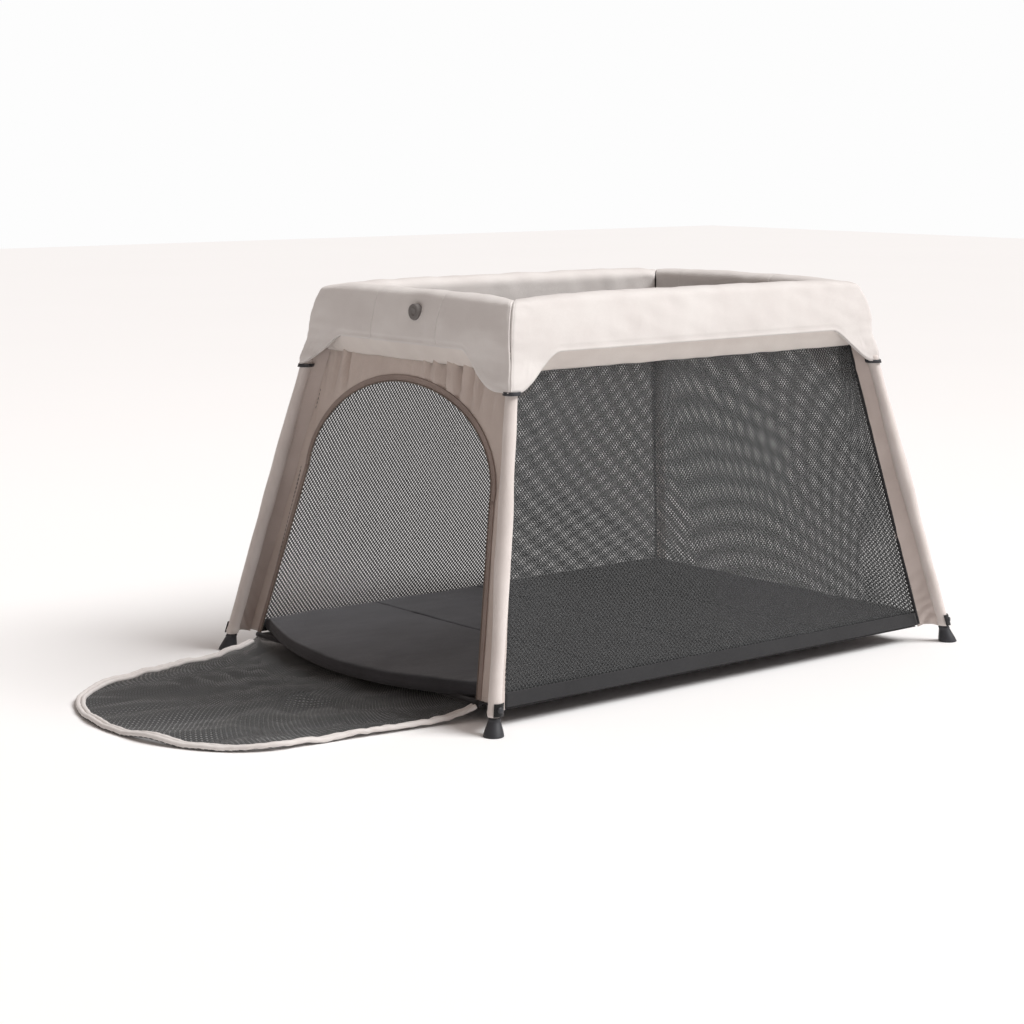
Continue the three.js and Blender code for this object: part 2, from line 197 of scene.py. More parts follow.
def grid_quads(rows: int, cols: int, wrap: bool) -> np.ndarray:
    """The corners of a grid's cells as vertex numbers, with the last column joined to the first if wrap.

    Args:
        rows: how many rows of points.
        cols: how many columns.
        wrap: whether the last column meets the first.

    Returns:
        One row of four vertex numbers for each cell.
    """
    r = np.arange(rows - 1)[:, None]
    c = np.arange(cols if wrap else cols - 1)[None, :]
    following = (c + 1) % cols
    corners = [r * cols + c, r * cols + following, (r + 1) * cols + following, (r + 1) * cols + c]
    return np.stack(np.broadcast_arrays(*corners), -1).reshape(-1, 4)


def new_piece(name: str, points: np.ndarray, faces: list, uv: np.ndarray,
              material: bpy.types.Material, flat: int = 0) -> bpy.types.Object:
    """Makes a mesh object at the origin with outward faces and a cloth UV map, smooth but for its rims.

    Args:
        name: the piece's name.
        points: vertex places.
        faces: lists of vertex numbers.
        uv: one cloth coordinate for each vertex, in metres.
        material: its material.
        flat: how many of the last faces are rims, shaded flat.

    Returns:
        The object, linked to the scene.
    """
    mesh = bpy.data.meshes.new(name)
    mesh.from_pydata(points.tolist(), [], faces)
    work = bmesh.new()
    work.from_mesh(mesh)
    bmesh.ops.recalc_face_normals(work, faces=work.faces)
    work.to_mesh(mesh)
    work.free()
    corner = np.empty(len(mesh.loops), np.int32)
    mesh.loops.foreach_get("vertex_index", corner)
    mesh.uv_layers.new(name="cloth").data.foreach_set("uv", uv[corner].ravel())
    mesh.polygons.foreach_set("use_smooth", np.arange(len(mesh.polygons)) < len(mesh.polygons) - flat)
    mesh.materials.append(material)
    piece = bpy.data.objects.new(name, mesh)
    bpy.context.scene.collection.objects.link(piece)
    return piece


def placed(grid: np.ndarray) -> np.ndarray:
    """A grid in the pen's own frame, moved to the row frame."""
    return grid + np.array([PEN, 0.0, 0.0])


def shell(name: str, outer: np.ndarray, inner: np.ndarray, material: bpy.types.Material,
          wrap: bool = False) -> bpy.types.Object:
    """A closed body between two grids of the same shape, rimmed along their open edges.

    Args:
        name: the piece's name.
        outer: one skin, rows by columns by 3, in the pen's frame.
        inner: the other skin.
        material: its material.
        wrap: whether the last column meets the first.

    Returns:
        The object.
    """
    rows, cols = outer.shape[:2]
    count = rows * cols
    faces = grid_quads(rows, cols, wrap)
    ids = np.arange(count).reshape(rows, cols)
    edges = [ids[0], ids[-1][::-1]]
    if wrap:
        edges = [np.append(edge, edge[0]) for edge in edges]
    else:
        edges += [ids[:, 0][::-1], ids[:, -1]]
    rims = [np.stack([e[:-1], e[1:], e[1:] + count, e[:-1] + count], -1) for e in edges]
    every = np.concatenate([faces, faces[:, ::-1] + count, *rims])
    uv = run_lengths(outer).reshape(-1, 2)
    points = placed(np.concatenate([outer.reshape(-1, 3), inner.reshape(-1, 3)]))
    flat = sum(len(rim) for rim in rims)
    return new_piece(name, points, every.tolist(), np.concatenate([uv, uv]), material, flat)


def sheet(name: str, grid: np.ndarray, thick: float, material: bpy.types.Material,
          wrap: bool = False) -> bpy.types.Object:
    """A skin of even thickness about a grid: each face lies half the thickness along the normals."""
    offset = normals(grid) * thick / 2
    return shell(name, grid + offset, grid - offset, material, wrap)


def swept(name: str, rings: np.ndarray, material: bpy.types.Material) -> bpy.types.Object:
    """A closed body through rings of points, with a flat cap at each end round a middle point.

    Args:
        name: the piece's name.
        rings: rings by points by 3, in the pen's frame.
        material: its material.

    Returns:
        The object.
    """
    rows, cols = rings.shape[:2]
    faces = grid_quads(rows, cols, True).tolist()
    count = rows * cols
    for end, ring in ((count, 0), (count + 1, rows - 1)):
        faces += [[ring * cols + c, ring * cols + (c + 1) % cols, end] for c in range(cols)]
    points = np.concatenate([rings.reshape(-1, 3), rings[[0, -1]].mean(1)])
    uv = run_lengths(rings).reshape(-1, 2)
    uv = np.concatenate([uv, uv[[0, -1]]])
    return new_piece(name, placed(points), faces, uv, material, 2 * cols)


def cord_rings(path: np.ndarray, radius: np.ndarray, sides: int = 10) -> np.ndarray:
    """Circles carried along a path, each square to it, with no twist about a fixed side direction.

    Args:
        path: points along the middle.
        radius: one radius, or one for each point.
        sides: points in each circle.

    Returns:
        Rings by sides by 3.
    """
    along = np.gradient(path, axis=0)
    along /= np.linalg.norm(along, axis=1, keepdims=True)
    middle = np.ptp(path, axis=0)
    helper = np.eye(3)[np.argmin(middle)]
    side = np.cross(along, helper)
    side /= np.linalg.norm(side, axis=1, keepdims=True)
    other = np.cross(along, side)
    turn = np.linspace(0, 2 * np.pi, sides, endpoint=False)
    circle = side[:, None] * np.cos(turn)[None, :, None] + other[:, None] * np.sin(turn)[None, :, None]
    return path[:, None] + circle * np.broadcast_to(radius, len(path))[:, None, None]


# ---- materials -------------------------------------------------------------------------------
def linear(colour: str) -> tuple[float, float, float, float]:
    """An sRGB hex colour as linear red, green, blue and 1."""
    values = [int(colour[i:i + 2], 16) / 255 for i in (1, 3, 5)]
    made = [v / 12.92 if v <= 0.04045 else ((v + 0.055) / 1.055) ** 2.4 for v in values]
    return (*made, 1.0)


def add_node(tree: bpy.types.NodeTree, kind: str, inputs: dict | None = None,
             **settings) -> bpy.types.Node:
    """Adds one node, sets its properties and fills or links its inputs.

    Args:
        tree: the material's tree.
        kind: the node's class name, less the leading ShaderNode.
        inputs: for each input name or number, a value or an output socket to link.
        settings: the node's own properties.

    Returns:
        The node.
    """
    node = tree.nodes.new("ShaderNode" + kind)
    for key, value in settings.items():
        setattr(node, key, value)
    for key, value in (inputs or {}).items():
        if isinstance(value, bpy.types.NodeSocket):
            tree.links.new(value, node.inputs[key])
        else:
            node.inputs[key].default_value = value
    return node


def new_material(name: str) -> tuple[bpy.types.Material, bpy.types.NodeTree]:
    """An empty node material."""
    material = bpy.data.materials.new(name)
    material.use_nodes = True
    material.node_tree.nodes.clear()
    return material, material.node_tree


@dataclass(frozen=True)
class Cloth:
    """Woven polyester: matt, with a soft sheen, a fine over-and-under weave and slight uneven dye.

    The thread is drawn coarser than the real one, so that the weave shows at all.
    """

    name: str
    colour: str
    shade: str
    thread: float = 1.3 * MM
    sheen: float = 0.25
    rough: float = 0.88
    bump: float = 0.25
    crease: float = 0.0

    def material(self) -> bpy.types.Material:
        """Colour runs between shade and colour by noise and weave; bump is the weave and soft creases.

        Returns:
            The material.
        """
        material, tree = new_material(self.name)
        cloth = add_node(tree, "UVMap", uv_map="cloth").outputs["UV"]
        place = add_node(tree, "TexCoord").outputs["Object"]
        split = add_node(tree, "SeparateXYZ", {0: cloth}).outputs
        turns = 2 * math.pi / self.thread
        waves = [
            add_node(tree, "Math", {0: add_node(tree, "Math", {0: split[i], 1: turns},
                                                operation="MULTIPLY").outputs[0]}, operation="SINE")
            for i in (0, 1)
        ]
        weave = add_node(tree, "Math", {0: waves[0].outputs[0], 1: waves[1].outputs[0]},
                         operation="MULTIPLY").outputs[0]
        patch = add_node(tree, "TexNoise", {"Vector": place, "Scale": 14.0, "Detail": 5.0}).outputs["Fac"]
        speck = add_node(tree, "TexNoise", {"Vector": place, "Scale": 900.0, "Detail": 2.0}).outputs["Fac"]
        worn = add_node(tree, "Math", {0: weave, 1: 0.12, 2: patch}, operation="MULTIPLY_ADD").outputs[0]
        tone = add_node(tree, "Math", {0: speck, 1: 0.35, 2: worn}, operation="MULTIPLY_ADD").outputs[0]
        spread = add_node(tree, "MapRange", {"Value": tone, "From Min": 0.35, "From Max": 0.95}).outputs[0]
        colour = add_node(tree, "Mix", {"Factor": spread, 6: linear(self.shade), 7: linear(self.colour)},
                          data_type="RGBA").outputs[2]
        crease = add_node(tree, "TexNoise", {"Vector": place, "Scale": 38.0, "Detail": 3.0,
                                             "Distortion": 0.6}).outputs["Fac"]
        soft = add_node(tree, "Bump", {"Height": crease, "Strength": 0.5,
                                       "Distance": 1.2 * MM + self.crease}).outputs[0]
        fine = add_node(tree, "Bump", {"Height": weave, "Strength": self.bump, "Distance": 0.25 * MM,
                                       "Normal": soft}).outputs[0]
        shader = add_node(tree, "BsdfPrincipled", {
            "Base Color": colour, "Roughness": self.rough, "Sheen Weight": self.sheen,
            "Sheen Roughness": 0.5, "Specular IOR Level": 0.25, "Normal": fine})
        add_node(tree, "OutputMaterial", {"Surface": shader.outputs[0]})
        return material


@dataclass(frozen=True)
class Netting:
    """Warp-knit polyester net: dark yarn round rows of staggered open cells, see-through between them."""

    name: str
    yarn: str = "#2a2c2d"
    light: str = "#484a4b"
    cell_wide: float = 6.6 * MM
    cell_high: float = 7.6 * MM
    open_from: float = -0.16
    open_all: float = 0.34
    veil: float = 0.15
    closed: float = 1.0

    def material(self) -> bpy.types.Material:
        """The product of two cosines, a cell wide and a cell high, opens from open_from to open_all.

        The alpha runs from closed in the yarn to veil in the cell's middle.

        Returns:
            The material.
        """
        material, tree = new_material(self.name)
        cloth = add_node(tree, "UVMap", uv_map="cloth").outputs["UV"]
        split = add_node(tree, "SeparateXYZ", {0: cloth}).outputs
        waves = []
        for i, size in ((0, self.cell_high), (1, self.cell_wide)):
            angle = add_node(tree, "Math", {0: split[i], 1: 2 * math.pi / size}, operation="MULTIPLY")
            waves.append(add_node(tree, "Math", {0: angle.outputs[0]}, operation="COSINE").outputs[0])
        cell = add_node(tree, "Math", {0: waves[0], 1: waves[1]}, operation="MULTIPLY").outputs[0]
        solid = add_node(tree, "MapRange", {"Value": cell, "From Min": self.open_all, "To Min": self.veil,
                                            "From Max": self.open_from, "To Max": self.closed}).outputs[0]
        place = add_node(tree, "TexCoord").outputs["Object"]
        fuzz = add_node(tree, "TexNoise", {"Vector": place, "Scale": 700.0}).outputs["Fac"]
        colour = add_node(tree, "Mix", {"Factor": fuzz, 6: linear(self.yarn), 7: linear(self.light)},
                          data_type="RGBA").outputs[2]
        raised = add_node(tree, "Bump", {"Height": cell, "Strength": 0.6, "Distance": 0.5 * MM}).outputs[0]
        shader = add_node(tree, "BsdfPrincipled", {
            "Base Color": colour, "Roughness": 0.8, "Sheen Weight": 0.2, "Normal": raised, "Alpha": solid})
        add_node(tree, "OutputMaterial", {"Surface": shader.outputs[0]})
        return material


@dataclass(frozen=True)
class Moulded:
    """Moulded polypropylene or nylon: fine spark-eroded grain with a broad soft shine."""

    name: str
    colour: str
    light: str
    rough: float = 0.5
    grain: float = 0.7 * MM
    metal: float = 0.0

    def material(self) -> bpy.types.Material:
        """Noise at the grain's size drives the bump, and slower noise the colour and roughness.

        Returns:
            The material.
        """
        material, tree = new_material(self.name)
        place = add_node(tree, "TexCoord").outputs["Object"]
        grain = add_node(tree, "TexNoise", {"Vector": place, "Scale": 1 / self.grain}).outputs["Fac"]
        wear = add_node(tree, "TexNoise", {"Vector": place, "Scale": 45.0, "Detail": 4.0}).outputs["Fac"]
        colour = add_node(tree, "Mix", {"Factor": wear, 6: linear(self.colour), 7: linear(self.light)},
                          data_type="RGBA").outputs[2]
        rough = add_node(tree, "MapRange", {"Value": wear, "To Min": self.rough - 0.08,
                                            "To Max": self.rough + 0.12}).outputs[0]
        bump = add_node(tree, "Bump", {"Height": grain, "Strength": 0.25, "Distance": 0.15 * MM}).outputs[0]
        shader = add_node(tree, "BsdfPrincipled", {
            "Base Color": colour, "Roughness": rough, "Metallic": self.metal, "Normal": bump})
        add_node(tree, "OutputMaterial", {"Surface": shader.outputs[0]})
        return material


class Finishes:
    """Every finish of the pen, made once."""

    def __init__(self) -> None:
        """Makes the materials."""
        self.cover = Cloth("pale_padded_polyester", "#e3dfdc", "#d7d1ce").material()
        self.band = Cloth("pale_binding_polyester", "#e8e1db", "#dad1cb", bump=0.35).material()
        self.sleeve = Cloth("sleeve_polyester", "#e3dbd7", "#d3cac5", crease=0.6 * MM).material()
        self.frame_cloth = Cloth("greige_polyester", "#d3c6be", "#c0b2aa", crease=0.6 * MM).material()
        self.web = Cloth("web_polyester", "#d2c6c0", "#bfb2ac", crease=0.8 * MM).material()
        self.tape = Cloth("zip_tape_weave", "#a3928a", "#85756d", thread=1.0 * MM, bump=0.5).material()
        self.charcoal = Cloth("charcoal_brushed_polyester", "#46464a", "#37373a", thread=1.1 * MM,
                              sheen=0.25, rough=0.95, bump=0.2).material()
        self.piping = Cloth("dark_piping", "#2f2f31", "#252527", thread=0.9 * MM).material()
        self.webbing = Cloth("black_webbing_weave", "#1f1f21", "#141415", thread=1.6 * MM,
                             bump=0.6).material()
        self.netting = Netting("warp_knit_netting").material()
        # The front wall's net is softer in contrast, so that it doesn't beat with the nets behind it.
        self.near_netting = Netting("warp_knit_netting_front", veil=0.14, closed=0.72).material()
        self.plastic = Moulded("dark_moulded_nylon", "#2b2c30", "#38393e").material()
        self.badge = Moulded("grey_soft_touch_rubber", "#6b6765", "#7d7876", rough=0.7).material()
        self.zip = Moulded("zip_coil_nylon", "#5d5149", "#766a60", rough=0.4, grain=0.4 * MM).material()
        self.steel = Moulded("grey_powder_coat", "#8a8c90", "#9b9da1", rough=0.45, metal=0.6).material()
        self.tube = Moulded("drawn_aluminium_tube", "#b4b6b9", "#c4c6c9", rough=0.3, metal=1.0).material()


FINISH = Finishes()


def ride(piece: bpy.types.Object, body: str, slot: str, *nodes: str) -> bpy.types.Object:
    """Puts a finished piece on a body and hides the CAD nodes that it stands for.

    Args:
        piece: the piece.
        body: the body that it rides on.
        slot: its material slot; not used.
        nodes: the CAD nodes that it stands for.

    Returns:
        The piece.
    """
    if nodes:
        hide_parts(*nodes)
    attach(piece, body)
    LOG.info("%s on %s", piece.name, body)
    return piece


def bend(piece: bpy.types.Object, bodies: tuple[str, str], start: Vector, end: Vector, slot: str,
         *nodes: str) -> bpy.types.Object:
    """Lets a finished piece bend between two bodies, names its slot, and hides what it stands for.

    Args:
        piece: the piece.
        bodies: the two bodies, joined by one joint.
        start: where the bend starts; not used.
        end: where the bend ends; not used.
        slot: its material slot; not used.
        nodes: the CAD nodes that it stands for.

    Returns:
        The piece.
    """
    if nodes:
        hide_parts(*nodes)
    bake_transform(piece)
    LOG.info("%s between %s", piece.name, bodies)
    return piece


# ---- padded rails ------------------------------------------------------------------------------
@dataclass
class RailCovers:
    """The padded covers over the four top rails, with their corner ears, seams and hems."""

    thick: float = 0.0045
    ear_low: float = 0.502
    inner_ear_low: float = 0.486
    long_ear: tuple[float, float] = (0.072, 0.016)
    front_ear: tuple[float, float] = (0.080, 0.022)
    rear_ear: tuple[float, float] = (0.066, 0.002)
    face_rows: int = 22
    top_rows: int = 14
    long_puff: float = 0.0035
    left_puff: float = 0.0055
    right_puff: float = 0.0105
    corner_dip: float = 0.0065
    flare: float = 0.0045
    corner: float = 0.011
    dimple: float = 0.030
    puff_below: float = 0.012
    puff_span: float = 0.018
    corner_creases: tuple = ((0.534, 0.0016), (0.528, 0.0010), (0.548, 0.0007))
    cut: float = 0.088

    def drop(self, short: bool, places: np.ndarray, distance: np.ndarray) -> np.ndarray:
        """How far down the ear reaches, from 0 at the hem to 1 near the corner, by a smooth step.

        Args:
            short: whether the rail is a short one.
            places: places along the rail, from -1 to 1.
            distance: how far each place is from the corner.

        Returns:
            A share for each place.
        """
        start, flat = np.where(places[:, None] < 0, self.front_ear, self.rear_ear).T
        if not short:
            start, flat = self.long_ear
        return smooth((start - distance) / (start - flat))

    def section(self, short: bool, places: np.ndarray, ends: np.ndarray, distance: np.ndarray) -> np.ndarray:
        """The cover's skin from outer hem over the top to inner hem, for each distance from the corner.

        The outer face leans by the cover's lean, the top is a half superellipse, the inner face is near
        upright.

        Args:
            short: whether the rail is a short one.
            places: places along the rail, from -1 to 1.
            ends: below 0 at the door end, above 0 at the far end.
            distance: how far each place is from the corner.

        Returns:
            Distances by points by (outwards on the long rail, outwards on the short rail, height).
        """
        ear = self.drop(short, places, distance)[:, None]
        low = PLAN.hem + (self.ear_low - PLAN.hem) * ear
        inner_low = PLAN.inner_hem + (self.inner_ear_low - PLAN.inner_hem) * ear
        up = np.linspace(0, 1, self.face_rows)[None, :]
        outer_z = low + (PLAN.shoulder - low) * up
        inner_z = PLAN.shoulder + (inner_low - PLAN.shoulder) * up
        turn = np.linspace(0, np.pi, self.top_rows + 2)[None, 1:-1]
        half = PLAN.cover_half
        share = (outer_z - PLAN.hem + self.puff_below) / (PLAN.shoulder - PLAN.hem + self.puff_span)
        shape = np.sin(np.pi * np.clip(share, 0, 1))
        near = np.exp(-distance / 0.03)[:, None]
        flare = self.flare * near * smooth((PLAN.hem + 0.01 - outer_z) / 0.05)
        top_o = half * np.sign(np.cos(turn)) * np.abs(np.cos(turn)) ** 0.80 + 0 * low
        rise = PLAN.cover_top - PLAN.shoulder - self.corner_dip * np.exp(-distance / 0.05)[:, None]
        top_z = PLAN.shoulder + rise * np.sin(turn) ** 0.90 + 0 * low
        inner_o = -half + 0.10 * (PLAN.shoulder - inner_z) - 0.0015 * np.sin(np.pi * up)
        short_puff = np.where(ends < 0, self.left_puff, self.right_puff)[:, None]
        rounding = 0.29 * self.corner * (1 - np.clip(distance / self.corner, 0, 1)) ** 2
        rounding = rounding[:, None]
        top_o = top_o - rounding * (top_o > 0)
        outs = []
        for lean, puff in ((PLAN.cover_lean_y, self.long_puff), (PLAN.cover_lean_x, short_puff)):
            outer_o = half + lean * (PLAN.shoulder - outer_z) + puff * shape + flare - rounding
            outs.append(np.concatenate([outer_o, top_o, inner_o], 1))
        height = np.concatenate([outer_z, top_z, inner_z], 1)
        return np.stack([*outs, height], -1)

    def details(self, grid: np.ndarray, distance: np.ndarray, seed: int) -> np.ndarray:
        """Moves the skin along its normals: soft creases, puckers at the corner seams and a sewn hem.

        Args:
            grid: the skin, stations by points by 3.
            distance: how far each station is from the corner.
            seed: which creases.

        Returns:
            The moved skin.
        """
        out = 0.0007 * ripple(grid, 0.09, seed) + 0.0004 * ripple(grid, 0.035, seed + 1)
        beside = (distance * np.exp(-(distance - 0.012) / 0.012) / 0.012)[:, None]
        pucker = np.sin(2 * np.pi * grid[..., 2] / 0.019 + 1.6 * ripple(grid, 0.06, seed + 2))
        out += 0.0005 * beside * pucker
        for height, depth in self.corner_creases:
            above = grid[..., 2] - height - 0.05 * distance[:, None]
            out -= depth * beside * np.exp(-(above / 0.0022) ** 2)
        out -= 0.0016 * np.exp(-(distance / 0.0022) ** 2)[:, None]
        stitched = np.exp(-((distance - 0.0055) / 0.0009) ** 2)[:, None]
        out -= 0.0006 * stitched * (0.7 + 0.3 * np.sin(2 * np.pi * grid[..., 2] / 0.0042))
        rows = np.arange(grid.shape[1])
        hem_z = grid[:, 0, 2][:, None]
        out -= 0.0012 * np.exp(-((grid[..., 2] - hem_z - 0.006) / 0.0016) ** 2) * (rows < self.face_rows)
        return grid + normals(grid) * out[..., None]

    def skin(self, short: bool, sign: int, places: np.ndarray, seed: int) -> tuple[np.ndarray, np.ndarray]:
        """Both skins of a cover between two places along its rail.

        A station's place runs from -1 at one corner seam to 1 at the other; near the corners the stations
        fan out so that the ends lie on the mitre.

        Args:
            short: whether the rail is a short one.
            sign: which side or end.
            places: the stations' places.
            seed: which creases.

        Returns:
            The outer and the inner skin as grids.
        """
        rail = PLAN.rail_y if short else PLAN.rail_x
        distance = (1 - np.abs(places)) * rail
        ends = np.full(len(places), sign) if short else places
        cut = self.section(short, places, ends, distance)
        across, along = (cut[..., 1], cut[..., 0]) if short else (cut[..., 0], cut[..., 1])
        fan = smooth((np.abs(places) - 0.70) / 0.30)[:, None]
        run = np.sign(places)[:, None] * (np.abs(places)[:, None] * rail + fan * along)
        off = sign * ((PLAN.rail_x if short else PLAN.rail_y) + across)
        grid = np.stack([off, run, cut[..., 2]] if short else [run, off, cut[..., 2]], -1)
        flip = 1 if (short == (sign > 0)) else -1
        if flip < 0:
            grid = grid[::-1]
        ordered = distance if flip > 0 else distance[::-1]
        if short:
            beside = np.hypot(grid[..., 1] - Buttons.y, grid[..., 2] - Buttons.z) / self.dimple
            puff = self.left_puff if sign < 0 else self.right_puff
            grid[..., 0] -= sign * puff * np.exp(-beside ** 2) * (np.abs(grid[..., 0]) > PLAN.rail_x)
        outer = self.details(grid, ordered, seed)
        inner = grid - normals(grid) * self.thick
        return outer, inner

    def build(self) -> None:
        """Makes the covers: whole on the long sides, in three on the short ones, whose rails fold."""
        for side in Side:
            ends = 1 - 0.3 * np.linspace(0, 1, 70) ** 1.6
            spread = np.concatenate([-ends, np.linspace(-0.7, 0.7, 120)[1:-1], ends[::-1]])
            skins = self.skin(False, side.value, spread, 10 + side.value)
            piece = shell(f"{side.name.lower()}_padded_cover", *skins, FINISH.cover)
            ride(piece, side.body, "cover_fabric", f"{side.name.lower()}_rail_cover")
        for end in End:
            self.short_rail(end)

    def short_rail(self, end: End) -> None:
        """One short rail's cover: front corner part, middle and rear corner part.

        Args:
            end: which short side.
        """
        word, cut = end.name.lower(), self.cut / PLAN.rail_y
        x = PEN + end.value * PLAN.rail_x
        pivot, hinge_z = PLAN.pivot_y, PLAN.rail_z + PLAN.hinge_rise
        halves = {Side.FRONT: f"{word}_front_half", Side.REAR: f"{word}_rear_half"}
        open_pivot = end is End.RIGHT
        rear_cut = 0.62 if open_pivot else cut
        parts = {
            "front": cut + (1 - cut) * (1 - np.linspace(0, 1, 84) ** 1.5),
            "middle": np.linspace(-cut, rear_cut, 90 if open_pivot else 70),
            "rear": rear_cut + (1 - rear_cut) * (1 - np.linspace(1, 0, 84) ** 1.5),
        }
        parts["front"] = -parts["front"]
        whole = np.concatenate([places[:-1] for places in parts.values()] + [np.ones(1)])
        skins = self.skin(True, end.value, whole, 30 + end.value)
        if skins[0][0, 0, 1] > skins[0][-1, 0, 1]:
            skins = tuple(skin[::-1] for skin in skins)
        made, first = {}, 0
        for part, places in parts.items():
            last = first + len(places)
            outer, inner = (skin[first:last] for skin in skins)
            made[part] = shell(f"{word}_padded_cover_{part}", outer, inner, FINISH.cover)
            first = last - 1
        reach = 0.028
        bend(made["front"], ("front_frame", halves[Side.FRONT]), Vector((x, -pivot - reach, hinge_z)),
             Vector((x, -pivot + reach, hinge_z)), "cover_fabric", f"{word}_rail_front_cover")
        bend(made["middle"], (halves[Side.FRONT], halves[Side.REAR]), Vector((x, -0.036, hinge_z)),
             Vector((x, 0.036, hinge_z)), "cover_fabric", f"{word}_rail_front_cover",
             f"{word}_rail_rear_cover")
        if open_pivot:
            ride(made["rear"], "rear_frame", "cover_fabric", f"{word}_rail_rear_cover")
        else:
            bend(made["rear"], (halves[Side.REAR], "rear_frame"), Vector((x, pivot - reach, hinge_z)),
                 Vector((x, pivot + reach, hinge_z)), "cover_fabric", f"{word}_rail_rear_cover")


# ---- walls ---------------------------------------------------------------------------------------
@dataclass
class Walls:
    """Netting on three sides, the top bands on all four, piping and hems."""

    net_thick: float = 0.0012
    cloth: float = 0.0018
    under_hem: float = 0.003
    off_wall: float = 0.002
    swell: float = 0.002
    hem_start: float = PLAN.wall_low - 0.001
    band_low: float = 0.529
    band_high: float = 0.562
    hem_high: float = 0.052
    hem_out: float = 0.0012
    piping: float = 0.0028
    cut: float = 0.225

    def end_strip(self, end: End, rows: np.ndarray, side: int, steps: int = 60) -> np.ndarray:
        """Part of a short wall: its middle for side 0, or the wedge beyond cut towards front or rear.

        Args:
            end: which short side.
            rows: heights.
            side: 0 for the middle, -1 for the front wedge, 1 for the rear wedge.
            steps: how many columns.

        Returns:
            Heights by columns by 3.
        """
        half_x, half_y = PLAN.wall_corner(rows)
        t = np.linspace(0, 1, steps)[None, :]
        if side == 0:
            y = self.cut * (2 * t - 1) + 0 * rows[:, None]
        else:
            y = side * (self.cut + (half_y[:, None] - self.cut) * t)
        x = end.value * half_x[:, None] + 0 * t
        return np.stack([x, y, rows[:, None] + 0 * t], -1)

    def long_strip(self, side: Side, rows: np.ndarray, steps: int = 120) -> np.ndarray:
        """A whole long wall between heights: x runs from corner to corner at each height.

        Args:
            side: which long side.
            rows: heights.
            steps: how many columns.

        Returns:
            Heights by columns by 3.
        """
        half_x, half_y = PLAN.wall_corner(rows)
        t = np.linspace(-1, 1, steps)[None, :]
        grid = [half_x[:, None] * t, side.value * half_y[:, None] + 0 * t, rows[:, None] + 0 * t]
        return np.stack(grid, -1)

    def slack(self, grid: np.ndarray, amount: float, seed: int) -> np.ndarray:
        """Lets a stretched wall belly a little: the normals times a slow random field."""
        return grid + normals(grid) * (amount * ripple(grid, 0.28, seed))[..., None]

    def outwards(self, grid: np.ndarray, by: float) -> np.ndarray:
        """The grid moved away from the pen's middle, along whichever of x and y its normal leans to."""
        normal = normals(grid)
        away = np.sign((normal[..., :2] * grid[..., :2]).sum(-1, keepdims=True).mean())
        return grid + normal * away * by

    def squeeze(self, piece: bpy.types.Object) -> None:
        """Gives a piece across the fold a mesh of its own; it is not made to gather."""
        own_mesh(piece)

    @property
    def keep(self) -> float:
        """What is left of the walls' middle when the frames have closed up."""
        return (2 * self.cut - PLAN.fold_shift) / (2 * self.cut)

    def build(self) -> None:
        """Makes every wall piece."""
        rows = np.linspace(PLAN.wall_low, PLAN.wall_high, 70)
        for side in Side:
            word = side.name.lower()
            grid = self.slack(self.long_strip(side, rows), 0.0012, 50 + side.value)
            finish = FINISH.near_netting if side is Side.FRONT else FINISH.netting
            net = sheet(f"{word}_netting", grid, self.net_thick, finish)
            ride(net, side.body, "netting", f"{word}_mesh_wall")
            self.trim(side, word)
        self.right_wall(rows)
        for end in End:
            self.end_trim(end)
        self.corner_piping()

    def right_wall(self, rows: np.ndarray) -> None:
        """The far end's netting, in a middle and two wedges, each put on its frame.

        Args:
            rows: heights.
        """
        for side, word in ((0, "middle"), (-1, "front"), (1, "rear")):
            steps = 60 if side == 0 else 12
            grid = self.end_strip(End.RIGHT, rows, side, steps)
            net = sheet(f"right_netting_{word}", grid, self.net_thick, FINISH.netting)
            ride(net, "rear_frame" if side > 0 else "front_frame", "netting", "right_mesh_wall")
            if side == 0:
                self.squeeze(net)

    def band(self, end: End | None, side: Side | None, reach: np.ndarray) -> np.ndarray:
        """A binding strip that slopes from just inside a cover's hem to the head of the wall below.

        Args:
            end: the short side that it is on, if it is.
            side: the long side that it is on, if it is.
            reach: places along the side, from -1 to 1 at the corners.

        Returns:
            The strip's grid, from wall to hem.
        """
        t = np.linspace(0, 1, 12)
        drop = PLAN.shoulder - PLAN.hem
        top_x = PLAN.rail_x + PLAN.cover_half + PLAN.cover_lean_x * drop - self.under_hem
        top_y = PLAN.rail_y + PLAN.cover_half + PLAN.cover_lean_y * drop - self.under_hem
        wall_x, wall_y = PLAN.wall_corner(np.array(self.band_low))
        swell = self.swell * np.sin(np.pi * t)
        half_x = wall_x + self.off_wall + (top_x - wall_x - self.off_wall) * t + swell
        half_y = wall_y + self.off_wall + (top_y - wall_y - self.off_wall) * t + swell
        z = self.band_low + (self.band_high - self.band_low) * t
        along = np.broadcast_to(reach, (len(t), len(reach)))
        if side is not None:
            grid = [half_x[:, None] * along, side.value * half_y[:, None] + 0 * along]
        else:
            grid = [end.value * half_x[:, None] + 0 * along, half_y[:, None] * along]
        grid = np.stack([*grid, z[:, None] + 0 * along], -1)
        return grid + normals(grid) * (0.0006 * ripple(grid, 0.05, 60))[..., None]

    def trim(self, side: Side, word: str) -> None:
        """A long wall's top band and bottom hem.

        Args:
            side: which long side.
            word: its name.
        """
        reach = np.linspace(-1, 1, 180)
        band = sheet(f"{word}_top_band", self.band(None, side, reach), self.cloth, FINISH.band)
        ride(band, side.body, "cover_fabric")
        grid = self.long_strip(side, np.linspace(self.hem_start, self.hem_high, 10), 160)
        hem = sheet(f"{word}_bottom_hem", self.outwards(grid, self.hem_out), self.cloth, FINISH.piping)
        ride(hem, side.body, "floor_fabric")

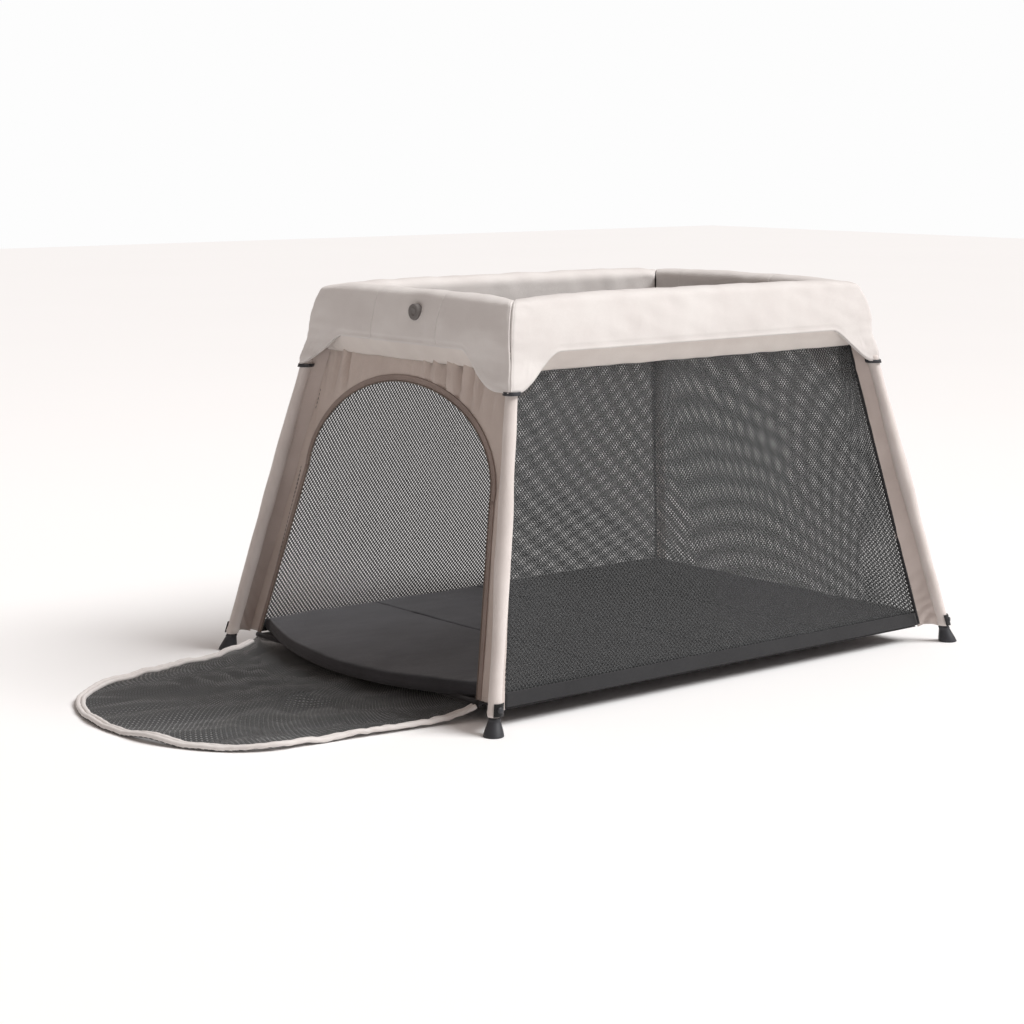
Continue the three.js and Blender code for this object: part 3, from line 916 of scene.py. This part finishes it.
    def end_trim(self, end: End) -> None:
        """A short wall's top band, and the far end's bottom hem.

        Args:
            end: which short side.
        """
        word = end.name.lower()
        low = np.linspace(self.hem_start, self.hem_high, 10)
        share = self.cut / float(PLAN.wall_corner(np.array(self.band_low))[1])
        spans = {0: np.linspace(-share, share, 90), -1: np.linspace(-1, -share, 12),
                 1: np.linspace(share, 1, 12)}
        for side, part in ((0, "middle"), (-1, "front"), (1, "rear")):
            grid = self.band(end, None, spans[side])
            made = [sheet(f"{word}_top_band_{part}", grid, self.cloth, FINISH.band)]
            slots = ["cover_fabric", "floor_fabric"]
            if end is End.RIGHT:
                grid = self.end_strip(end, low, side, 60 if side == 0 else 12)
                made.append(sheet(f"{word}_bottom_hem_{part}", self.outwards(grid, self.hem_out), self.cloth,
                                  FINISH.piping))
            for piece, slot in zip(made, slots):
                ride(piece, "rear_frame" if side > 0 else "front_frame", slot)
                if side == 0:
                    self.squeeze(piece)

    def corner_piping(self) -> None:
        """A sewn cord down each upright corner of the far end."""
        z = np.linspace(PLAN.wall_low + 0.001, PLAN.hem - 0.012, 60)
        half_x, half_y = PLAN.wall_corner(z)
        for side in Side:
            path = np.stack([half_x + 0.0016, side.value * (half_y + 0.0016), z], -1)
            path[:, :2] += 0.0006 * ripple(path, 0.03, 70)[:, None]
            name = f"{side.name.lower()}_right_piping"
            ride(swept(name, cord_rings(path, self.piping), FINISH.piping), side.body, "black_webbing")


# ---- the doorway ---------------------------------------------------------------------------------
@dataclass
class Doorway:
    """The fabric wall with its arched opening and the zip round it."""

    front: float = 0.286
    rear: float = 0.342
    front_top: float = 0.246
    rear_top: float = 0.270
    spring: float = 0.300
    high: float = 0.468
    crown: float = 0.025
    cloth: float = 0.0018
    tape_outer: float = -0.004
    tape_inner: float = 0.007
    tape_out: float = 0.0022
    tape_thick: float = 0.0016
    wall: Walls = field(default_factory=Walls)

    def edge(self, inset: float, share: np.ndarray) -> np.ndarray:
        """The opening's edge from the front of the sill (0) over the crown to the rear (1).

        Up to a quarter and from three quarters it is a straight leaning side; between them a half
        ellipse, wider towards the rear.

        Args:
            inset: how far inwards of the edge.
            share: shares of the edge, from 0 to 1.

        Returns:
            Across and up, for each share.
        """
        t = np.asarray(share, float)
        foot = np.where(t < 0.5, -self.front + inset, self.rear - inset)
        head = np.where(t < 0.5, -self.front_top + inset, self.rear_top - inset)
        side = np.clip(np.where(t < 0.5, t, 1 - t) / 0.25, 0, 1)
        turn = np.clip((t - 0.25) / 0.5, 0, 1) * np.pi
        around = np.cos(np.pi - turn)
        reach = np.abs(head - self.crown)
        across = np.where(side < 1, foot + (head - foot) * side, self.crown + reach * around)
        over = self.spring + (self.high - self.spring - inset) * np.sin(turn)
        up = np.where(side < 1, self.spring * side, over)
        return np.stack([across, up], -1)

    def on_wall(self, flat: np.ndarray, out: float = 0.0) -> np.ndarray:
        """Points given as across and up, put on the leaning wall of the door's end."""
        x = -(PLAN.wall_x - PLAN.wall_lean_x * flat[..., 1]) - out
        return np.stack([x, flat[..., 0], PLAN.wall_low + flat[..., 1]], -1)

    def outline(self, share: np.ndarray) -> np.ndarray:
        """The wall's own outline opposite each share of the opening's edge: up one side, over, down.

        Args:
            share: shares of the opening's edge, from 0 to 1.

        Returns:
            Across and up, for each share.
        """
        t = np.asarray(share, float)
        top = self.wall.band_high - PLAN.wall_low
        edge_up = np.clip(np.where(t < 0.5, t, 1 - t) / 0.30, 0, 1) * top
        z = PLAN.wall_low + edge_up
        lean = PLAN.wall_corner(z)[1] + np.where(t < 0.5, 0, PLAN.fin_at(z))
        half = PLAN.wall_y - PLAN.wall_lean_y * top
        over = np.clip((t - 0.30) / 0.40, 0, 1) * 2 - 1
        across = np.where(np.minimum(t, 1 - t) < 0.30, np.sign(t - 0.5) * lean, half * over)
        return np.stack([across, edge_up], -1)

    def parts(self) -> list[tuple[str, np.ndarray, str]]:
        """The three stretches of the opening: its name, its shares of the edge, and its body."""
        return [
            ("front", np.linspace(0, 0.25, 40), "front_frame"),
            ("crown", np.linspace(0.25, 0.75, 150), "front_frame"),
            ("rear", np.linspace(0.75, 1, 40), "rear_frame"),
        ]

    def gather(self, piece: bpy.types.Object) -> None:
        """Gives a crown piece a mesh of its own; it is not made to close up."""
        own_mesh(piece)

    def pleats(self, flat: np.ndarray, across_wall: np.ndarray) -> np.ndarray:
        """How far the gathered cloth stands out: upright pleats over the crown, fading down the sides.

        Args:
            flat: places as across and up.
            across_wall: 0 at the opening, 1 at the wall's edge.

        Returns:
            A distance for each place.
        """
        y, up = flat[..., 0], flat[..., 1]
        upper = smooth((up - 0.40) / 0.07)
        fold = np.sin(2 * np.pi * y / 0.034 + 1.4 * np.sin(y * 37) + 4 * (up - 0.5) * y / 0.2)
        fold = fold - 0.45 * np.cos(2 * np.pi * y / 0.017 + 2.0 * np.sin(y * 23))
        some = 0.10 + np.exp(-((y + 0.10) / 0.075) ** 2) + 0.7 * np.exp(-((y - 0.20) / 0.03) ** 2)
        middle = np.sin(np.pi * np.clip(across_wall, 0, 1) ** 1.6) ** 0.5
        loose = ripple(np.stack([y * 2.0, up, 0 * y], -1), 0.16, 81)
        return 0.0090 * upper * fold * some * middle + 0.0020 * (1 - upper) * loose * middle

    def build(self) -> None:
        """Makes the wall, the zip's tape and its coil, in three stretches each."""
        for part, share, body in self.parts():
            t = np.linspace(0, 1, 34)[None, :, None]
            inner, outer = self.edge(0.0, share)[:, None], self.outline(share)[:, None]
            flat = inner + (outer - inner) * t
            flat[..., 1] = np.maximum(flat[..., 1], 0)
            grid = self.on_wall(flat, self.pleats(flat, np.broadcast_to(t[..., 0], flat.shape[:2])))
            wall = sheet(f"door_wall_{part}", grid, self.cloth, FINISH.frame_cloth)
            ride(wall, body, "web_fabric", "door_wall")
            band = self.strip(share, self.tape_outer, self.tape_inner, self.tape_out)
            tape = sheet(f"door_zip_tape_{part}", band, self.tape_thick, FINISH.tape)
            ride(tape, body, "web_fabric", "door_zip_tape")
            coil = swept(f"door_zip_coil_{part}", self.coil(share), FINISH.zip)
            ride(coil, body, "web_fabric")
            if part == "crown":
                for piece in (wall, tape, coil):
                    self.gather(piece)

    def strip(self, share: np.ndarray, outer: float, inner: float, out: float) -> np.ndarray:
        """A band that follows the opening's edge between two insets."""
        t = np.linspace(0, 1, 8)[None, :, None]
        first, last = self.edge(outer, share)[:, None], self.edge(inner, share)[:, None]
        return self.on_wall(first + (last - first) * t, out)

    def coil(self, share: np.ndarray) -> np.ndarray:
        """The zip's coil: a thin cord whose radius swells with each tooth, inside the tape.

        Args:
            share: the stretch of the opening's edge.

        Returns:
            Rings round the coil.
        """
        fine = np.linspace(share[0], share[-1], 420)
        path = self.on_wall(self.edge(0.0065, fine), 0.0030)
        length = np.concatenate([[0], np.cumsum(np.linalg.norm(np.diff(path, axis=0), axis=1))])
        teeth = 0.0014 + 0.0003 * np.sin(2 * np.pi * length / 0.004)
        return cord_rings(path, teeth, 6)


@dataclass
class Flap:
    """The unzipped door: netting with a rope-like sewn edge, lying rumpled on the floor."""

    door: Doorway
    binding: float = 0.0043
    net_thick: float = 0.0012
    net_high: float = 0.0022
    cords: tuple = (("outer", 0.0, 0.0050), ("inner", 0.0080, 0.0046))
    cord_from: float = 0.004
    cord_to: float = 0.985
    # Height and radius of the dark sill cord, a painted shadow under the mattress's bow.
    shadow_line_high: float = 0.0265
    shadow_line_radius: float = 0.0046
    body: str = "door_flap"

    def lie(self, flat: np.ndarray, over: float) -> np.ndarray:
        """Lays points given as across and away from the sill onto the floor, with soft folds.

        The cloth falls from the sill over its first few centimetres; folds fade at the sill.

        Args:
            flat: places as across and away.
            over: how far above the floor the cloth lies.

        Returns:
            A point for each place.
        """
        y, away = flat[..., 0], flat[..., 1]
        base = np.stack([away, y, 0 * y], -1)
        fold = np.abs(ripple(base * [1.0, 1.6, 1.0], 0.15, 91)) ** 1.2
        crumple = np.abs(ripple(base, 0.055, 92))
        ridge = np.exp(-((y + 0.35 * away - 0.02) / 0.026) ** 2)
        ridge += 0.7 * np.exp(-((y - 0.5 * away + 0.13) / 0.022) ** 2)
        fall = np.exp(-away / 0.035)
        inside = smooth((0.46 - away) / 0.3)
        lift = 0.0040 * fold + (0.0024 * crumple + 0.0080 * ridge) * inside
        z = over + 0.020 * fall + lift * (1 - fall)
        sag = 0.004 * np.sin(np.pi * np.clip(away / 0.5, 0, 1))
        return np.stack([-(PLAN.wall_x + 0.004) - self.slant * away, y + sag, z], -1)

    @property
    def slant(self) -> float:
        """Length along the leaning wall for each metre of height."""
        return math.hypot(1.0, PLAN.wall_lean_x)

    def build(self) -> None:
        """Makes the flap's netting, the two cords of its binding and a dark cord along the sill that paints
        the shadow line under the mattress's bow.
        """
        share = np.linspace(0, 1, 150)
        edge = self.door.edge(-0.002, share)
        seat = edge[:, 1:2] * 1.004
        rim = np.concatenate([edge[:, :1], seat], 1)
        middle = np.stack([np.linspace(-self.door.front, self.door.rear, 150), np.zeros(150)], -1)
        t = np.linspace(0, 1, 70)[None, :, None]
        flat = middle[:, None] + (rim[:, None] - middle[:, None]) * t
        net = sheet("door_flap_net", self.lie(flat, self.net_high), self.net_thick, FINISH.netting)
        self.dress(net, "netting", "door_flap_netting")
        for word, inset, high in self.cords:
            path = self.lie(self.door.edge(inset, np.linspace(self.cord_from, self.cord_to, 420)), high)
            length = np.concatenate([[0], np.cumsum(np.linalg.norm(np.diff(path, axis=0), axis=1))])
            thick = self.binding * (0.92 + 0.06 * np.sin(2 * np.pi * length / 0.021))
            rope = swept(f"door_flap_edge_{word}", cord_rings(path, thick, 12), FINISH.cover)
            self.dress(rope, "cover_fabric", "door_flap_binding")
        # Painted shadow: a dark cord along the sill, just under the mattress's bowed edge, stands in for the
        # shadow line there.
        y = np.linspace(-self.door.front - 0.004, self.door.rear + 0.002, 60)
        sill = np.stack([0 * y - PLAN.wall_x - 0.003, y, 0 * y + self.shadow_line_high], -1)
        rings = cord_rings(sill, np.full(len(y), self.shadow_line_radius), 12)
        cord = swept("door_sill_painted_shadow", rings, FINISH.piping)
        self.dress(cord, "floor_fabric")

    def dress(self, piece: bpy.types.Object, slot: str, *nodes: str) -> None:
        """Puts a flap piece on its body and gives it a mesh of its own."""
        ride(piece, self.body, slot, *nodes)
        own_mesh(piece)


# ---- legs ------------------------------------------------------------------------------------------
@dataclass
class Legs:
    """The four splayed legs: sleeves, webs, straps and feet."""

    sleeve: float = 0.0100
    sleeve_low: float = 0.029
    sleeve_high: float = 0.512
    foot_high: float = 0.030
    foot_base: float = 0.0163
    foot_neck: float = 0.0088
    sleeve_cloth: float = 0.0014
    web_cloth: float = 0.0014
    web_low: float = 0.027
    web_high: float = 0.545
    web_hollow: float = 0.005
    strap_low: float = 0.030
    strap_high: float = 0.049
    snap_high: float = 0.0395
    snap_radius: float = 0.0052
    lip_low: float = 0.4985
    lip_radii: tuple[float, float] = (0.0142, 0.0118)

    def rings(self, z: np.ndarray, radius: np.ndarray, end: End, side: Side, sides: int = 40) -> np.ndarray:
        """Level circles about a leg's axis, one for each height, as the leg leans.

        Args:
            z: heights.
            radius: a radius for each height or each point.
            end: which short side.
            side: which long side.
            sides: points on a circle.

        Returns:
            Heights by points by 3.
        """
        x, y = PLAN.leg(z)
        turn = np.linspace(0, 2 * np.pi, sides, endpoint=False)
        size = np.broadcast_to(radius, (len(z), sides)) if np.ndim(radius) < 2 else radius
        px = end.value * x[:, None] + size * np.cos(turn)
        py = side.value * y[:, None] + size * np.sin(turn)
        return np.stack([px, py, np.broadcast_to(z[:, None], px.shape)], -1)

    def build(self) -> None:
        """Makes each leg's pieces."""
        for end in End:
            for side in Side:
                self.one(end, side, f"{side.name.lower()}_{end.name.lower()}")

    def one(self, end: End, side: Side, word: str) -> None:
        """One leg.

        Args:
            end: which short side.
            side: which long side.
            word: the leg's name.
        """
        z = np.linspace(self.sleeve_low, self.sleeve_high, 150)
        base = self.rings(z, np.full((150, 1), self.sleeve) + np.zeros((1, 40)), end, side)
        crease = 0.0007 * ripple(base * [1, 1, 0.5], 0.05, 100 + end.value + 3 * side.value)
        crease = crease + 0.0022 * np.sin(np.pi * np.clip((z - 0.06) / 0.44, 0, 1))[:, None] ** 2
        cuff = 0.0012 * np.exp(-((z - self.sleeve_low - 0.006) / 0.004) ** 2)[:, None]
        outer = self.rings(z, self.sleeve + crease + cuff, end, side)
        inner = self.rings(z, np.full((150, 40), self.sleeve - self.sleeve_cloth), end, side)
        ride(shell(f"{word}_sleeve", outer, inner, FINISH.sleeve, wrap=True), side.body, "sleeve_fabric",
             f"{word}_leg_sleeve")
        self.web(end, side, word)
        self.strap(end, side, word)
        self.foot(end, side, word)

    def web(self, end: End, side: Side, word: str) -> None:
        """The cloth between the sleeve and the walls' corner: straight lines from one to the other.

        Its lower edge is hollowed and its lowest part creased.

        Args:
            end: which short side.
            side: which long side.
            word: the leg's name.
        """
        z = np.linspace(0, 1, 110)[:, None]
        t = np.linspace(0, 1, 26)[None, :]
        low = self.web_low + self.web_hollow * np.sin(np.pi * t) ** 1.2
        z = low + (self.web_high - low) * z
        wall_x, wall_y = PLAN.wall_corner(z)
        if end is End.LEFT and side is Side.REAR:
            wall_y = wall_y + PLAN.fin_at(z)
        leg_x, leg_y = PLAN.leg(z)
        x = end.value * (wall_x + (leg_x - wall_x) * 0.90 * t)
        y = side.value * (wall_y + (leg_y - wall_y) * 0.90 * t)
        grid = np.stack([x, y, z], -1)
        slack = np.exp(-(z - 0.05) / 0.06) * np.sin(np.pi * t)
        fold = slack * np.sin(2 * np.pi * (z - 0.03 * t) / 0.021 + 1.5 * ripple(grid, 0.06, 121))
        grid = grid + normals(grid) * (0.0024 * fold + 0.0010 * ripple(grid, 0.09, 120))[..., None]
        gusset = sheet(f"{word}_gusset", grid, self.web_cloth, FINISH.web)
        ride(gusset, side.body, "web_fabric", f"{word}_web")

    def strap(self, end: End, side: Side, word: str) -> None:
        """A webbing tab sewn round the outer half of the sleeve's foot, held by a domed snap.

        Args:
            end: which short side.
            side: which long side.
            word: the leg's name.
        """
        z = np.linspace(self.strap_low, self.strap_high, 12)
        face = side.value * (0.50 if end is End.LEFT else 0.36) * np.pi
        turn = face + np.linspace(-0.26, 0.26, 30) * np.pi
        rings = []
        for radius in (self.sleeve + 0.0034, self.sleeve + 0.0016):
            x, y = PLAN.leg(z)
            px = end.value * x[:, None] + radius * np.cos(turn)
            py = side.value * y[:, None] + radius * np.sin(turn)
            rings.append(np.stack([px, py, np.broadcast_to(z[:, None], px.shape)], -1))
        ride(shell(f"{word}_strap_tab", *rings, FINISH.webbing), side.body, "black_webbing",
             f"{word}_leg_strap")
        x, y = PLAN.leg(np.array(self.snap_high))
        out = np.array([np.cos(face), np.sin(face), 0.0])
        middle = np.array([end.value * x, side.value * y, self.snap_high]) + out * (self.sleeve + 0.0030)
        share = np.array([0.02, 0.4, 0.7, 0.9, 1.0, 1.0])
        high = np.array([0.0022, 0.0021, 0.0017, 0.0011, 0.0004, -0.0012])
        spin = np.linspace(0, 2 * np.pi, 20, endpoint=False)
        across = np.cross(out, [0, 0, 1.0])
        ring = across * np.cos(spin)[:, None] + np.array([0, 0, 1.0]) * np.sin(spin)[:, None]
        dome = middle + out * high[:, None, None] + self.snap_radius * share[:, None, None] * ring
        ride(swept(f"{word}_snap", dome, FINISH.plastic), side.body, "dark_plastic")
        z = np.linspace(self.lip_low, PLAN.leg_top[2], 6)
        lip = [self.rings(z, np.full((6, 40), radius), end, side) for radius in self.lip_radii]
        ride(shell(f"{word}_leg_socket", *lip, FINISH.plastic, wrap=True), side.body, "dark_plastic")

    def foot(self, end: End, side: Side, word: str) -> None:
        """A flared foot: from a rounded sole it narrows by a smooth curve to a neck with a raised ring.

        Args:
            end: which short side.
            side: which long side.
            word: the leg's name.
        """
        share = np.array([0, 0.02, 0.05, 0.12, 0.25, 0.4, 0.55, 0.7, 0.8, 0.83, 0.86, 0.92, 0.97, 1.0])
        fall = self.foot_neck + (self.foot_base - self.foot_neck) * (1 - smooth(share * 0.92 + 0.08))
        shape = fall + 0.0008 * (np.abs(share - 0.86) < 0.05)
        shape[[0, 1, -1]] = [self.foot_base - 0.0012, self.foot_base - 0.0003, self.foot_neck - 0.0012]
        rings = self.rings(share * self.foot_high, shape[:, None] + np.zeros((1, 48)), end, side, 48)
        ride(swept(f"{word}_cone_foot", rings, FINISH.plastic), side.body, "dark_plastic", f"{word}_foot")


# ---- mattress and floor ------------------------------------------------------------------------------
@dataclass
class Mattress:
    """Four joined foam panels in a brushed charcoal cover, and the sheet of floor cloth below."""

    low: float = 0.0312
    thick: float = 0.0248
    half_x: float = 0.464
    half_y: float = 0.336
    bow: float = 0.058
    droop: float = 0.0103
    crown: float = 0.0015
    keep: float = 0.48
    floor_high: float = 0.028
    floor_cloth: float = 0.0014

    def panel(self, number: int) -> np.ndarray:
        """A panel's top and bottom as one stack of two grids.

        The height falls off only over the last millimetres of each way, as one less a high power, so the
        edges are nearly square; the first panel's door edge bows out by a parabola.

        Args:
            number: 1 at the door to 4 at the far end.

        Returns:
            Two grids, top and bottom.
        """
        long = 2 * self.half_x / 4
        u = np.sin(np.linspace(-1, 1, 56) * np.pi / 2)[:, None]
        v = np.sin(np.linspace(-1, 1, 110) * np.pi / 2)[None, :]
        centre = -self.half_x + (number - 0.5) * long
        x = centre + u * (long / 2 - 0.0004) + 0 * v
        y = v * self.half_y + 0 * u
        middle = self.low + self.thick / 2
        if number == 1:
            across = np.clip((y - 0.028) / 0.295, -1, 1)
            pull = (1 - across ** 2) * (1 - (u + 1) / 2) ** 1.5
            x = x - self.bow * pull
            middle = middle - self.droop * pull
        form = ((1 - np.abs(u) ** 70) ** 0.25) * ((1 - np.abs(v) ** 120) ** 0.25)
        spread = np.stack([x, y, 0 * x], -1)
        swell = self.crown * np.cos(u * np.pi / 2) * np.cos(v * np.pi / 2)
        fuzz = 0.0006 * ripple(spread, 0.10, 130 + number) + 0.0003 * ripple(spread, 0.04, 140 + number)
        top = middle + (self.thick / 2) * form + (swell + fuzz) * form
        bottom = middle - (self.thick / 2) * form
        return np.stack([np.stack([x, y, top], -1), np.stack([x, y, bottom], -1)])

    def build(self) -> None:
        """Makes the panels and the floor sheet."""
        bodies = ("mattress_first", "mattress_second", "mattress_third", "front_frame")
        for number, body in enumerate(bodies, 1):
            piece = shell(f"mattress_pad_{number}", *self.panel(number), FINISH.charcoal)
            ride(piece, body, "mattress_fabric", f"mattress_panel_{number}")
            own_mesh(piece)
        half_x, half_y = PLAN.wall_x - 0.001, PLAN.wall_y - 0.003
        u, v = np.meshgrid(np.linspace(-half_x, half_x, 90), np.linspace(-half_y, half_y, 70), indexing="ij")
        grid = np.stack([u, v, np.full_like(u, self.floor_high)], -1)
        grid[..., 2] += 0.0006 * ripple(grid, 0.2, 150) - 0.0006
        floor = sheet("floor_cloth", grid, self.floor_cloth, FINISH.charcoal)
        ride(floor, "front_frame", "floor_fabric", "floor_sheet")
        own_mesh(floor)


# ---- buttons and bare frame parts ---------------------------------------------------------------------
@dataclass
class Buttons:
    """The round release buttons at the middle of the short rails."""

    y: float = -0.024
    z: float = 0.610
    radius: float = 0.0135
    proud: float = 0.0075

    def build(self) -> None:
        """A domed disc with a dished middle and a small raised ring, carried round its own axis."""
        share = np.array([0.001, 0.2, 0.42, 0.46, 0.54, 0.58, 0.8, 0.93, 0.985, 1.0, 1.0])
        high = np.array([0.72, 0.74, 0.80, 0.90, 0.90, 0.80, 0.98, 0.92, 0.66, 0.3, -0.4])
        turn = np.linspace(0, 2 * np.pi, 48, endpoint=False)
        for end in End:
            face = PLAN.rail_x + PLAN.cover_half + PLAN.cover_lean_x * (PLAN.shoulder - self.z)
            x = end.value * (face + self.proud * high)[:, None] + 0 * turn
            y = self.y + self.radius * share[:, None] * np.cos(turn)
            z = self.z + self.radius * share[:, None] * np.sin(turn)
            piece = swept(f"{end.name.lower()}_round_button", np.stack([x, y, z], -1), FINISH.badge)
            ride(piece, f"{end.name.lower()}_button", "dark_plastic", f"{end.name.lower()}_release_button")


def dress_cad() -> None:
    """Gives each CAD node that still shows the finish of its material."""
    for name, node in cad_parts.items():
        if name.endswith("leg_tube"):
            finish = FINISH.steel
        elif name.endswith("tube"):
            finish = FINISH.tube
        else:
            finish = FINISH.plastic
        node.data.materials.clear()
        node.data.materials.append(finish)


# ---- stage, light and camera ----------------------------------------------------------------------------
@dataclass(frozen=True)
class Camera:
    """A long-lens view from the door's corner, a little above the rails."""

    place: tuple[float, float, float] = (-2.5462, -2.933, 0.8848)
    yaw: float = 38.908
    pitch: float = -9.450
    lens: float = 78.82

    def build(self) -> None:
        """Makes the scene's camera: yaw turns it from +Y towards +X, pitch tips it down."""
        data = bpy.data.cameras.new("camera")
        data.lens, data.sensor_width = self.lens, 36.0
        camera = bpy.data.objects.new("camera", data)
        camera.location = Vector(self.place) + Vector((PEN, 0, 0))
        camera.rotation_euler = (math.radians(90 + self.pitch), 0, -math.radians(self.yaw))
        bpy.context.scene.collection.objects.link(camera)
        bpy.context.scene.camera = camera


@dataclass(frozen=True)
class Lamp:
    """A square soft box aimed at the pen."""

    name: str
    place: tuple[float, float, float]
    size: float
    watts: float
    colour: str = "#ffffff"

    def build(self) -> None:
        """Makes the lamp and turns it to the pen's middle."""
        data = bpy.data.lights.new(self.name, "AREA")
        data.size, data.energy, data.color = self.size, self.watts, linear(self.colour)[:3]
        lamp = bpy.data.objects.new(self.name, data)
        lamp.location = self.place
        aim = Vector((PEN, 0, 0.3)) - Vector(self.place)
        lamp.rotation_euler = aim.to_track_quat("-Z", "Y").to_euler()
        bpy.context.scene.collection.objects.link(lamp)


@dataclass(frozen=True)
class Stage:
    """A pale floor under a pale sky, lit by one broad sun and a weak soft box above."""

    half: float = 14.0
    ambient: str = "#918782"
    sky: str = "#fdfdfd"
    sun: float = 3.15
    sun_from: tuple[float, float, float] = (0.56, -0.58, 0.96)
    sun_spread: float = 34.0

    def build(self) -> None:
        """Makes the floor, the world and the lamps; the sky is white to the camera, dimmer as a light."""
        mesh = bpy.data.meshes.new("floor")
        size = self.half
        mesh.from_pydata([(-size, -size, 0), (size, -size, 0), (size, size, 0), (-size, size, 0)], [],
                         [(0, 1, 2, 3)])
        floor = bpy.data.objects.new("floor", mesh)
        bpy.context.scene.collection.objects.link(floor)
        material, tree = new_material("pale_floor")
        place = add_node(tree, "TexCoord").outputs["Object"]
        cloud = add_node(tree, "TexNoise", {"Vector": place, "Scale": 0.8}).outputs["Fac"]
        colour = add_node(tree, "Mix", {"Factor": cloud, 6: linear("#fbfbfb"), 7: linear("#fdfdfd")},
                          data_type="RGBA").outputs[2]
        shader = add_node(tree, "BsdfPrincipled", {"Base Color": colour, "Roughness": 0.7})
        add_node(tree, "OutputMaterial", {"Surface": shader.outputs[0]})
        mesh.materials.append(material)
        world = bpy.data.worlds.new("studio")
        world.use_nodes = True
        tree = world.node_tree
        seen = add_node(tree, "LightPath").outputs["Is Camera Ray"]
        shade = add_node(tree, "Mix", {"Factor": seen, 6: linear(self.ambient), 7: linear(self.sky)},
                         data_type="RGBA").outputs[2]
        tree.links.new(shade, tree.nodes["Background"].inputs["Color"])
        bpy.context.scene.world = world
        Lamp("top", (1.0, 0.2, 4.2), 3.0, 20).build()
        light = bpy.data.lights.new("key", "SUN")
        light.energy = self.sun
        light.angle = math.radians(self.sun_spread)
        key = bpy.data.objects.new("key", light)
        key.rotation_euler = Vector(self.sun_from).to_track_quat("Z", "Y").to_euler()
        bpy.context.scene.collection.objects.link(key)


def main() -> None:
    """Builds the whole scene in order."""
    logging.basicConfig(level=logging.INFO, format="%(name)s: %(message)s")
    bpy.context.scene.view_settings.view_transform = "Standard"
    Camera().build()
    Stage().build()
    dress_cad()
    RailCovers().build()
    Walls().build()
    door = Doorway()
    door.build()
    Flap(door).build()
    Legs().build()
    Mattress().build()
    Buttons().build()


if __name__ == "__main__":
    main()
